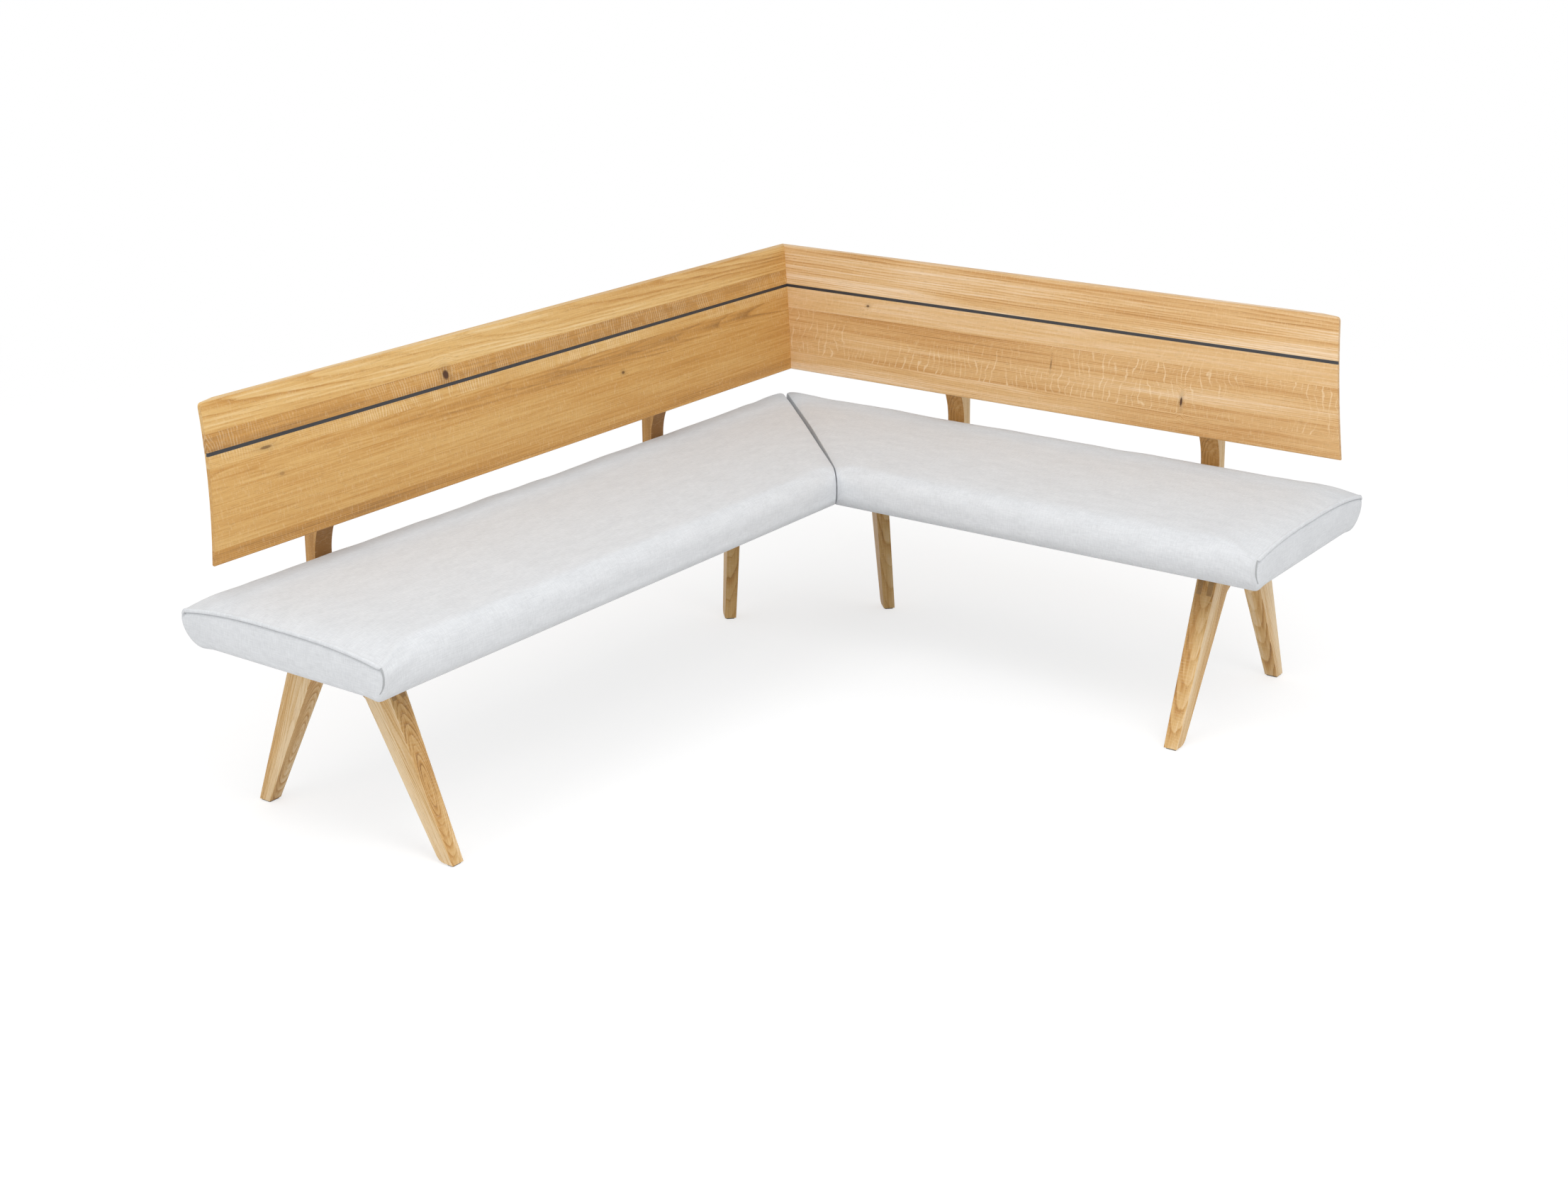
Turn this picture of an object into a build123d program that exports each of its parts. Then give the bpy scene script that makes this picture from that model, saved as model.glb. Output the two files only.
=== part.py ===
from build123d import *
import math
import os

# Oak corner bench. A long left wing and a short right wing meet in a mitred corner. Each wing has an
# upholstered seat, a curved backrest panel on two uprights and an A-shaped end trestle. A two-legged
# support stands under the corner.
# Frame: origin at the bottom centre of the bounding box, +Z up, the long wing along Y, the short wing
# along X, the corner at -X and +Y, the seats facing +X and -Y.
# A wing is drawn in its own frame: X is the run along the wing from the reference corner, Y is the depth
# forward of the backrest's reference plane, Z is the height above the floor. Millimetres.

# Overall sizes
LONG_WING = 2000.0  # left wing, back of the corner to the end of the seat
SHORT_WING = 1600.0  # right wing, measured the same way
SEAT_HEIGHT = 491.0  # floor to the crown of the seat
BACK_GAP = 70.0  # crown of the seat to the bottom edge of the backrest
PANEL_HEIGHT = 300.0
BACK_SETBACK = 60.0  # reference plane to the back of the uprights

# Backrest panels
PANEL_THICKNESS = 22.0
PANEL_TOP_SETBACK = 19.0  # how far the top edge leans behind the reference plane
PANEL_BOTTOM_ADVANCE = 50.0  # how far the bottom edge stands before it
PANEL_BULGE = 10.0  # height of the front's arc over its chord
PANEL_END_INSET = 21.0  # bottom of the panel's free end to the end of the seat
PANEL_END_RAKE = 47.0  # how much shorter the panel is along its top edge
PANEL_EDGE_RADIUS = 3.0
PANEL_CORNER_RADIUS = 10.0  # top corner of the free end, seen from the front
END_BEVEL_RUN = 45.0  # length of the bevel on the back of the free end
PANEL_END_THICKNESS = 9.0  # what the bevel leaves
INLAY_DROP = 94.0  # top edge of the panel to the middle of the inlay
INLAY_WIDTH = 7.0
INLAY_DEPTH = 5.0
TONGUE_THICKNESS = 3.0
TONGUE_WIDTH = 12.0
TONGUE_SETBACK = 9.5  # front face at the tongue's two ends to its middle
TONGUE_MARGIN = 80.0  # tongue to the panel's top and bottom edges
MITRE_PLATE_LEG = 70.0
MITRE_PLATE_HEIGHT = 90.0
MITRE_PLATE_DROP = 115.0  # top edge of the panel to the top of the plate

# Uprights
UPRIGHT_WIDTH = 46.0
UPRIGHT_INNER = 492.0  # reference corner to the middle of the inner upright
UPRIGHT_OUTER_INSET = 365.0  # end of the seat to the middle of the outer upright
UPRIGHT_TOP_DROP = 65.0  # top of the panel to the top of the upright
UPRIGHT_FOOT_RISE = 8.0  # underside of the seat to the foot of the upright
UPRIGHT_BEND_DROP = 16.0  # crown of the seat down to where the upright begins to flare
UPRIGHT_MEETING = 38.0  # bottom edge of the panel up to where the upright meets its back
UPRIGHT_EDGE_RADIUS = 2.5
PANEL_SCREW_RISE = 62.0  # end of the panel's seating to the nearer screw

# Seats
SEAT_THICKNESS = 98.0  # crown to the underside cloth
SEAT_FRONT = 513.0  # reference plane to the front of the seat
SEAT_REAR = 29.0  # reference plane back to the seat's rear
SEAT_REAR_FLARE = 6.0  # how far the end corner stands behind the drawn-in rear
SEAT_FRONT_FLARE = 3.0  # how far the end corner stands before the drawn-in front
SEAT_CROWN = 7.0  # crown over its two shoulders
SEAT_END_CROWN = 20.0  # the same at the end seam, which is domed more
SEAT_END_DROP = 6.0  # crown to the top of the end seam
SEAT_END_FADE = 110.0  # stretch of the run where the crown falls to the end seam
FRONT_UNDER_RADIUS = 30.0
FRONT_WAIST = 48.0  # underside to the foremost line of the front
REAR_UNDER_RADIUS = 40.0
END_UNDER_RADIUS = 50.0  # rear underside at the end seam
FRONT_SHOULDER = 27.0
REAR_SHOULDER = 20.0
REAR_SWELL = 1.2  # how far the rear's rounding stands behind its waist
END_SHOULDER = 7.0
MITRE_GAP_FRONT = 1.5
MITRE_GAP_REAR = 11.0
CLOTH_THICKNESS = 1.0
CLOTH_MARGIN = 10.0  # cloth beyond the seat board
BOARD_THICKNESS = 16.0
BOARD_FRONT_INSET = 38.0
BOARD_REAR_INSET = 40.0
BOARD_END_INSET = 38.0
BOARD_MITRE_GAP = 30.0
RAIL_COVER = 38.0  # crown to the top of the rails
RAIL_WIDTH = 46.0
REAR_RAIL_INSET = 12.0  # padding between the rear rail and the back of the seat
PAD_CLEARANCE = 0.3

# Leg frames
GLIDE_THICKNESS = 3.0
GLIDE_INSET = 2.5
PLATE_THICKNESS = 4.0
PLATE_WIDTH = 40.0
PLATE_OVERHANG = 36.0  # plate beyond the top of its frame
TRESTLE_INSET = 188.0  # end of the seat to the middle of the trestle
FRONT_LEG_FOOT = 490.0  # depth of the front edge at the floor
FRONT_LEG_FOOT_WIDTH = 35.0
FRONT_LEG_TOP = 318.0  # depth of the front edge at the top
FRONT_LEG_TOP_WIDTH = 88.0
FRONT_HEEL_RADIUS = 25.0
REAR_LEG_FOOT = 52.0  # reference plane back to the rear edge at the floor
REAR_LEG_FOOT_WIDTH = 30.0
REAR_LEG_TOP = 97.0  # depth of the rear edge at the top
REAR_LEG_TOP_WIDTH = 79.0
LEG_FOOT_THICKNESS = 31.0
LEG_TOP_THICKNESS = 48.0
LEG_EDGE_RADIUS = 1.5
ARCH_DROP = 91.0  # top of the trestle to the springing of its arch
ARCH_RISE = 24.0
TENON_THICKNESS = 12.0
TENON_PITCH = 24.0
TENON_DROP = 81.0  # top of the trestle to the underside of the tenons
CORNER_LEG_FRONT = 343.0  # reference corner to the legs' front face, along the diagonal
CORNER_LEG_LEAN = 18.0  # how far the front face leans back at the top
CORNER_LEG_FOOT_DEPTH = 42.0
CORNER_LEG_TOP_DEPTH = 86.0
CORNER_HEEL_RADIUS = 18.0
CORNER_LEG_FOOT_SPREAD = 200.0  # diagonal to the middle of a foot
CORNER_LEG_TOP_SPREAD = 177.0
CORNER_LEG_FOOT_WIDTH = 28.0
CORNER_LEG_TOP_WIDTH = 34.0
CORNER_BAR_HEIGHT = 76.0
CORNER_BAR_WIDTH = 44.0

# Fasteners
SCREW_RADIUS = 2.5
SCREW_HEAD_RADIUS = 4.5
SCREW_HEAD_HEIGHT = 2.5
SCREW_GRIP = 12.0  # how deep a screw holds in a panel or a board
FRAME_SCREW_LENGTH = 40.0
BOLT_RADIUS = 3.0
BOLT_HEAD_RADIUS = 5.0
BOLT_HEAD_HEIGHT = 5.0
BOLT_PITCH = 18.0
BOLT_GRIP = 18.0
WASHER_RADIUS = 7.0
WASHER_THICKNESS = 1.5
COUNTERBORE_DEPTH = 9.0
COUNTERBORE_PLAY = 0.5
INSERT_WALL = 2.0
BORE_PLAY = 0.1
SCREW_EDGE = 14.0  # screw to the edge of its plate
JOINING_PLATE_LENGTH = 140.0
JOINING_PLATE_WIDTH = 60.0
JOINING_PLATE_SETBACK = 110.0  # front of the mitre back to the plate's middle

# Levels and places that follow from the sizes
HEIGHT = SEAT_HEIGHT + BACK_GAP + PANEL_HEIGHT
PANEL_BOTTOM = SEAT_HEIGHT + BACK_GAP
INLAY_HEIGHT = HEIGHT - INLAY_DROP
UPRIGHT_TOP = HEIGHT - UPRIGHT_TOP_DROP
UPRIGHT_FRONT = -SEAT_REAR - REAR_SWELL - 2 * PAD_CLEARANCE
UNDERSIDE = SEAT_HEIGHT - SEAT_THICKNESS
FRAME_TOP = UNDERSIDE - PLATE_THICKNESS
BOARD_BOTTOM = UNDERSIDE + CLOTH_THICKNESS
BOARD_TOP = BOARD_BOTTOM + BOARD_THICKNESS
BOARD_FRONT = SEAT_FRONT - BOARD_FRONT_INSET
BOARD_REAR = BOARD_REAR_INSET - SEAT_REAR
RAIL_TOP = SEAT_HEIGHT - RAIL_COVER
RAIL_REAR = REAR_RAIL_INSET - SEAT_REAR
PAD_BOTTOM = BOARD_BOTTOM + PAD_CLEARANCE
BEYOND = 4 * (BACK_SETBACK + SEAT_REAR)  # past the corner, before a mitre is cut
WING_ENDS = {"left": LONG_WING - BACK_SETBACK, "right": SHORT_WING - BACK_SETBACK}
MITRE = Plane(origin=(0, 0, 0), z_dir=(1, -1, 0))
TO_CENTRE = Pos(BACK_SETBACK - SHORT_WING / 2, LONG_WING / 2 - BACK_SETBACK, 0)
FORWARD, BACKWARD, UP, DOWN = (0, 1, 0), (0, -1, 0), (0, 0, 1), (0, 0, -1)

parts = {}


def in_place(wing, shape):
    """Turn a shape from its wing's frame into the bench's directions."""
    if wing == "left":
        return Rot(0, 0, -90) * shape
    return mirror(shape, about=Plane.XZ)


def across_corner(shape):
    """Turn a shape from the corner's frame: X across the diagonal, -Y along it into the room."""
    return Rot(0, 0, 45) * shape


def block(low, high):
    """A box between two corners."""
    size = [b - a for a, b in zip(low, high)]
    middle = [(a + b) / 2 for a, b in zip(low, high)]
    return Pos(*middle) * Box(*size)


def rod(start, direction, radius, length):
    """A cylinder from a point along a direction."""
    return extrude(Plane(origin=start, z_dir=direction) * Circle(radius), length)


def screw(seat, direction, length):
    """A screw: seat is where the underside of its head lies, direction is where it points."""
    back = tuple(-c for c in direction)
    head = rod(seat, back, SCREW_HEAD_RADIUS, SCREW_HEAD_HEIGHT)
    return head + rod(seat, direction, SCREW_RADIUS, length)


def screw_hole(seat, direction, length):
    """The bore for a screw's shank."""
    return rod(seat, direction, SCREW_RADIUS + BORE_PLAY, length + BORE_PLAY)


def head_hole(seat, direction, depth, play):
    """The room for a screw's head, from its seat outward."""
    back = tuple(-c for c in direction)
    return rod(seat, back, SCREW_HEAD_RADIUS + play, depth)


def soft_corner(start, corner, end):
    """An arc that rounds the corner between two points on its sides."""
    start, corner, end = Vector(*start), Vector(*corner), Vector(*end)
    middle = (start + end) * 0.5
    crown = middle + (corner - middle) * (math.sqrt(2) - 1)
    return ThreePointArc(start, crown, end)


def panel_front(height):
    """Depth of the panel's front face at a height."""
    top = Vector(-PANEL_TOP_SETBACK, HEIGHT)
    low = Vector(PANEL_BOTTOM_ADVANCE, PANEL_BOTTOM)
    chord = (top - low).length
    radius = (chord**2 / 4 + PANEL_BULGE**2) / (2 * PANEL_BULGE)
    ahead = Vector(top.Y - low.Y, low.X - top.X) * (1 / chord)
    centre = (top + low) * 0.5 - ahead * (radius - PANEL_BULGE)
    return centre.X + math.sqrt(radius**2 - (height - centre.Y) ** 2)


def curved_section(behind, thickness, top, bottom):
    """A slice of the panel's curve that starts some way behind its front face."""
    front = [(panel_front(z) - behind, z) for z in (top, (top + bottom) / 2, bottom)]
    back = [(depth - thickness, z) for depth, z in reversed(front)]
    outline = [
        ThreePointArc(*front),
        Line(front[2], back[0]),
        ThreePointArc(*back),
        Line(back[2], front[0]),
    ]
    return Face(Wire(outline))


def panel_section(run, thickness):
    section = curved_section(0, thickness, HEIGHT, PANEL_BOTTOM)
    section = fillet(section.vertices(), PANEL_EDGE_RADIUS)
    return Pos(run, 0, 0) * (Plane.YZ * section)


def panel_blank(end):
    """A panel before its groove: straight run, raked and bevelled free end, rounded top corner, mitre."""
    panel_end = end - PANEL_END_INSET
    bevel_start = panel_end - END_BEVEL_RUN
    slope = PANEL_END_RAKE / PANEL_HEIGHT
    run = extrude(panel_section(-BEYOND, PANEL_THICKNESS), BEYOND + end, dir=(1, 0, 0))
    end_cut = Plane(origin=(bevel_start, 0, PANEL_BOTTOM), x_dir=(0, 1, 0), z_dir=(1, 0, slope))
    run = split(run, bisect_by=end_cut, keep=Keep.BOTTOM)
    tip = loft(
        [panel_section(bevel_start, PANEL_THICKNESS), panel_section(panel_end, PANEL_END_THICKNESS)], ruled=True
    )
    radius = PANEL_CORNER_RADIUS
    pivot = (panel_end - radius, -2 * BACK_SETBACK, HEIGHT - radius)
    corner = block(pivot, (panel_end + radius, 2 * BACK_SETBACK, HEIGHT + radius))
    corner -= rod(pivot, FORWARD, radius, 4 * BACK_SETBACK)
    shear = Matrix([[1, 0, -slope, slope * PANEL_BOTTOM], [0, 1, 0, 0], [0, 0, 1, 0]])
    tip = (tip - corner).solid().transform_geometry(shear)
    return split(run + tip, bisect_by=MITRE, keep=Keep.TOP)


def inlay_groove(end):
    floor = panel_front(INLAY_HEIGHT) - INLAY_DEPTH
    low = (-BEYOND, floor, INLAY_HEIGHT - INLAY_WIDTH / 2)
    high = (end, BACK_SETBACK, INLAY_HEIGHT + INLAY_WIDTH / 2)
    return block(low, high)


def mitre_tongue(play):
    """The loose tongue that lines the two panels up inside the mitre and leans with them."""
    bottom, top = PANEL_BOTTOM + TONGUE_MARGIN, HEIGHT - TONGUE_MARGIN
    ends = [(TONGUE_SETBACK - panel_front(z)) * math.sqrt(2) for z in (bottom, top)]
    length = math.hypot(ends[1] - ends[0], top - bottom)
    lean = math.degrees(math.atan2(ends[1] - ends[0], top - bottom))
    tongue = Box(TONGUE_WIDTH + 2 * play, TONGUE_THICKNESS + 2 * play, length + 2 * play)
    return across_corner(Pos(0, sum(ends) / 2, (bottom + top) / 2) * Rot(-lean, 0, 0) * tongue)


def upright_blank(run):
    """An upright: straight behind the seat, then flaring forward to the panel's back."""
    foot = UNDERSIDE + UPRIGHT_FOOT_RISE
    bend = SEAT_HEIGHT - UPRIGHT_BEND_DROP
    meeting = PANEL_BOTTOM + UPRIGHT_MEETING
    lead = panel_front(meeting) - PANEL_THICKNESS - PAD_CLEARANCE
    outline = [
        Line((-BACK_SETBACK, foot), (UPRIGHT_FRONT, foot)),
        Line((UPRIGHT_FRONT, foot), (UPRIGHT_FRONT, bend)),
        TangentArc((UPRIGHT_FRONT, bend), (lead, meeting), tangent=(0, 1)),
        Line((lead, meeting), (lead + 2 * PANEL_BULGE, UPRIGHT_TOP)),
        Line((lead + 2 * PANEL_BULGE, UPRIGHT_TOP), (-BACK_SETBACK, UPRIGHT_TOP)),
        Line((-BACK_SETBACK, UPRIGHT_TOP), (-BACK_SETBACK, foot)),
    ]
    post = extrude(Plane.YZ * Face(Wire(outline)), UPRIGHT_WIDTH / 2, both=True)
    keep_out = curved_section(
        -BACK_SETBACK, BACK_SETBACK + PANEL_THICKNESS + PAD_CLEARANCE, HEIGHT, PANEL_BOTTOM
    )
    post -= extrude(Plane.YZ * keep_out, UPRIGHT_WIDTH, both=True)
    rear = post.faces().sort_by(Axis.Y)[0]
    return Pos(run, 0, 0) * fillet(rear.edges(), UPRIGHT_EDGE_RADIUS)


def pad_section(run, fade):
    """A slice across the seat; fade goes from 0 in the full form to 1 at the end seam."""

    def between(full, seam):
        return full + (seam - full) * fade

    front = SEAT_FRONT - between(SEAT_FRONT_FLARE, 0)
    rear = -SEAT_REAR - between(0, SEAT_REAR_FLARE)
    crown = SEAT_HEIGHT - SEAT_END_DROP * fade**2
    shoulder = crown - between(SEAT_CROWN, SEAT_END_CROWN)
    under = between(REAR_UNDER_RADIUS, END_UNDER_RADIUS)
    waist_front = (front, PAD_BOTTOM + FRONT_WAIST)
    waist_rear = (rear, PAD_BOTTOM + under)
    low_front = (front - FRONT_UNDER_RADIUS, PAD_BOTTOM)
    low_rear = (rear + under, PAD_BOTTOM)
    high_front = (front - between(FRONT_SHOULDER, END_SHOULDER), shoulder)
    high_rear = (rear + between(REAR_SHOULDER, END_SHOULDER), shoulder)
    outline = [
        Line(low_rear, low_front),
        soft_corner(low_front, (front, PAD_BOTTOM), waist_front),
        soft_corner(waist_front, (front, shoulder), high_front),
        ThreePointArc(high_front, ((front + rear) / 2, crown), high_rear),
        soft_corner(high_rear, (rear, shoulder), waist_rear),
        soft_corner(waist_rear, (rear, PAD_BOTTOM), low_rear),
    ]
    return Pos(run, 0, 0) * (Plane.YZ * Face(Wire(outline)))


def pad_blank(end):
    """A seat's upholstered form: crowned, drawn in between its ends, mitred with a V gap."""
    sections = [
        pad_section(-BEYOND, 0),
        pad_section(end - SEAT_END_FADE, 0),
        pad_section(end - SEAT_END_FADE / 3, 0.5),
        pad_section(end, 1),
    ]
    front_gap = MITRE_GAP_FRONT / math.sqrt(2)
    rear_gap = MITRE_GAP_REAR / math.sqrt(2)
    length = SEAT_FRONT + SEAT_REAR
    cut = Plane(origin=(SEAT_FRONT + front_gap, SEAT_FRONT, 0), z_dir=(length, rear_gap - front_gap - length, 0))
    return split(loft(sections, ruled=True), bisect_by=cut, keep=Keep.TOP)


def mitred_slab(end, rear, front, bottom, top, gap):
    """A flat piece of one wing with its inner end cut along the diagonal."""
    shift = gap / math.sqrt(2)
    outline = Polyline((rear + shift, rear), (end, rear), (end, front), (front + shift, front), close=True)
    return extrude(Pos(0, 0, bottom) * make_face(outline), top - bottom, dir=UP)


def seat_board(end, grow=0.0):
    return mitred_slab(
        end - BOARD_END_INSET + grow,
        BOARD_REAR - grow,
        BOARD_FRONT + grow,
        BOARD_BOTTOM,
        BOARD_TOP + grow,
        BOARD_MITRE_GAP - 2 * grow,
    )


def rear_rail(end, grow=0.0):
    return mitred_slab(
        end - BOARD_END_INSET + grow,
        RAIL_REAR - grow,
        RAIL_REAR + RAIL_WIDTH + grow,
        BOARD_TOP - grow,
        RAIL_TOP + grow,
        BOARD_MITRE_GAP - 2 * grow,
    )


def front_rail(end, grow=0.0):
    return mitred_slab(
        end - BOARD_END_INSET + grow,
        BOARD_FRONT - RAIL_WIDTH - grow,
        BOARD_FRONT + grow,
        BOARD_TOP - grow,
        RAIL_TOP + grow,
        BOARD_MITRE_GAP - 2 * grow,
    )


def underside_cloth(end):
    return mitred_slab(
        end - BOARD_END_INSET + CLOTH_MARGIN,
        BOARD_REAR - CLOTH_MARGIN,
        BOARD_FRONT + CLOTH_MARGIN,
        UNDERSIDE,
        BOARD_BOTTOM,
        BOARD_MITRE_GAP / 2,
    )


def tapered(foot_middle, foot_width, top_middle, top_width):
    """Both sides of a leg seen face on, as a wedge right through it."""
    outline = Polyline(
        (foot_middle - foot_width / 2, 0),
        (foot_middle + foot_width / 2, 0),
        (top_middle + top_width / 2, FRAME_TOP),
        (top_middle - top_width / 2, FRAME_TOP),
        close=True,
    )
    return extrude(Plane.XZ * make_face(outline), 2 * SEAT_FRONT, both=True)


def edge_depth(foot, top, height):
    """Depth of a straight leg edge at a height, from its depth at the floor and at the top."""
    return foot + (top - foot) * height / FRAME_TOP


def leg_outline(back_edge, front_edge):
    """The side view of a leg between two edges, each given at the floor and at the top."""
    return make_face(
        Polyline(
            (edge_depth(*back_edge, GLIDE_THICKNESS), GLIDE_THICKNESS),
            (edge_depth(*front_edge, GLIDE_THICKNESS), GLIDE_THICKNESS),
            (front_edge[1], FRAME_TOP),
            (back_edge[1], FRAME_TOP),
            close=True,
        )
    )


def front_leg_edges():
    front = (FRONT_LEG_FOOT, FRONT_LEG_TOP)
    back = (FRONT_LEG_FOOT - FRONT_LEG_FOOT_WIDTH, FRONT_LEG_TOP - FRONT_LEG_TOP_WIDTH)
    return back, front


def rear_leg_edges():
    back = (-REAR_LEG_FOOT, REAR_LEG_TOP)
    front = (REAR_LEG_FOOT_WIDTH - REAR_LEG_FOOT, REAR_LEG_TOP + REAR_LEG_TOP_WIDTH)
    return back, front


def trestle_profiles():
    """Side views of a trestle's front leg, rear leg and the arched crossbar between them."""
    front_leg = leg_outline(*front_leg_edges())
    heel = front_leg.vertices().group_by(Axis.Y)[0].sort_by(Axis.X)[0]
    front_leg = fillet(heel, FRONT_HEEL_RADIUS)
    rear_leg = leg_outline(*rear_leg_edges())
    spring = FRAME_TOP - ARCH_DROP
    inner_front = front_leg_edges()[0]
    inner_rear = rear_leg_edges()[1]
    start = (edge_depth(*inner_rear, spring), spring)
    finish = (edge_depth(*inner_front, spring), spring)
    crown = ((start[0] + finish[0]) / 2, spring + ARCH_RISE)
    crossbar = [
        ThreePointArc(start, crown, finish),
        Line(finish, (inner_front[1], FRAME_TOP)),
        Line((inner_front[1], FRAME_TOP), (inner_rear[1], FRAME_TOP)),
        Line((inner_rear[1], FRAME_TOP), start),
    ]
    return front_leg, rear_leg, Face(Wire(crossbar))


def round_sides(frame, across):
    """Soften the edges round the two broad sides of a leg frame."""
    sides = [f for f in frame.faces() if abs(f.normal_at().dot(Vector(*across))) > math.cos(math.pi / 8)]
    rims = [e for side in sides for e in side.edges()]
    rims = [e for e in rims if GLIDE_THICKNESS + 1 < e.center().Z < FRAME_TOP - 1]
    return fillet(rims, LEG_EDGE_RADIUS)


def trestle_tenons(middle):
    """The two bands of the trestle's thickness that the crossbar's tenons fill."""
    low_z = FRAME_TOP - TENON_DROP
    bands = []
    for side in (-1, 1):
        run = middle + side * TENON_PITCH / 2
        low = (run - TENON_THICKNESS / 2, -SEAT_FRONT, low_z)
        bands.append(block(low, (run + TENON_THICKNESS / 2, SEAT_FRONT, FRAME_TOP)))
    return bands[0] + bands[1]


def foot_glide(leg):
    """A felt pad under a leg's foot, set in from its edges."""
    sole = leg.faces().sort_by(Axis.Z)[0].bounding_box()
    low = (sole.min.X + GLIDE_INSET, sole.min.Y + GLIDE_INSET, 0)
    high = (sole.max.X - GLIDE_INSET, sole.max.Y - GLIDE_INSET, GLIDE_THICKNESS)
    pad = block(low, high)
    return fillet(pad.edges().filter_by(Axis.Z), GLIDE_INSET)


def corner_leg_blank():
    """The corner support's right leg in the corner's frame."""
    front = (-CORNER_LEG_FRONT, CORNER_LEG_LEAN - CORNER_LEG_FRONT)
    back = (front[0] + CORNER_LEG_FOOT_DEPTH, front[1] + CORNER_LEG_TOP_DEPTH)
    outline = leg_outline(front, back)
    heel = outline.vertices().group_by(Axis.Y)[0].sort_by(Axis.X)[-1]
    outline = fillet(heel, CORNER_HEEL_RADIUS)
    wedge = tapered(
        CORNER_LEG_FOOT_SPREAD, CORNER_LEG_FOOT_WIDTH, CORNER_LEG_TOP_SPREAD, CORNER_LEG_TOP_WIDTH
    )
    leg = extrude(Plane.YZ * outline, 2 * CORNER_LEG_FOOT_SPREAD, dir=(1, 0, 0)) & wedge
    return round_sides(leg, (1, 0, 0))


# Backrest panels before their fixings, and the inlay strips in their grooves
panels = {}
for wing, end in WING_ENDS.items():
    blank = panel_blank(end)
    groove = inlay_groove(end)
    parts[f"{wing}_inlay_strip"] = in_place(wing, blank & groove)
    panels[wing] = blank - groove

# Plate behind the mitre, bent to the back of both panels, with its screws
plate_top = HEIGHT - MITRE_PLATE_DROP
plate_bottom = plate_top - MITRE_PLATE_HEIGHT
plate_section = curved_section(PANEL_THICKNESS + BORE_PLAY, PLATE_THICKNESS, plate_top, plate_bottom)
plate_legs, mitre_plate_screws = [], []
for wing in WING_ENDS:
    start = Pos(-BEYOND, 0, 0) * (Plane.YZ * plate_section)
    leg = extrude(start, BEYOND + MITRE_PLATE_LEG, dir=(1, 0, 0))
    leg = split(leg, bisect_by=MITRE, keep=Keep.TOP)
    for height in (plate_bottom + SCREW_EDGE, plate_top - SCREW_EDGE):
        plate_back = panel_front(height) - PANEL_THICKNESS - BORE_PLAY - PLATE_THICKNESS
        seat = (MITRE_PLATE_LEG - SCREW_EDGE, plate_back, height)
        length = PLATE_THICKNESS + SCREW_GRIP
        leg -= screw_hole(seat, FORWARD, length)
        leg -= head_hole(seat, FORWARD, PLATE_THICKNESS, BORE_PLAY)
        panels[wing] -= screw_hole(seat, FORWARD, length)
        mitre_plate_screws.append(in_place(wing, screw(seat, FORWARD, length)))
    plate_legs.append(in_place(wing, leg))
parts["backrest_mitre_plate"] = plate_legs[0] + plate_legs[1]
parts["mitre_plate_screws"] = mitre_plate_screws

# Seats: boards, rails, cloths and the upholstered pads
boards, rear_rails, cloths, pads = {}, {}, {}, {}
for wing, end in WING_ENDS.items():
    boards[wing] = seat_board(end)
    rear_rails[wing] = rear_rail(end)
    cloths[wing] = underside_cloth(end)
    parts[f"{wing}_front_rail"] = in_place(wing, front_rail(end))
    pad = pad_blank(end)
    for hollow in (seat_board, rear_rail, front_rail):
        pad -= hollow(end, PAD_CLEARANCE)
    pads[wing] = pad

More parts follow.
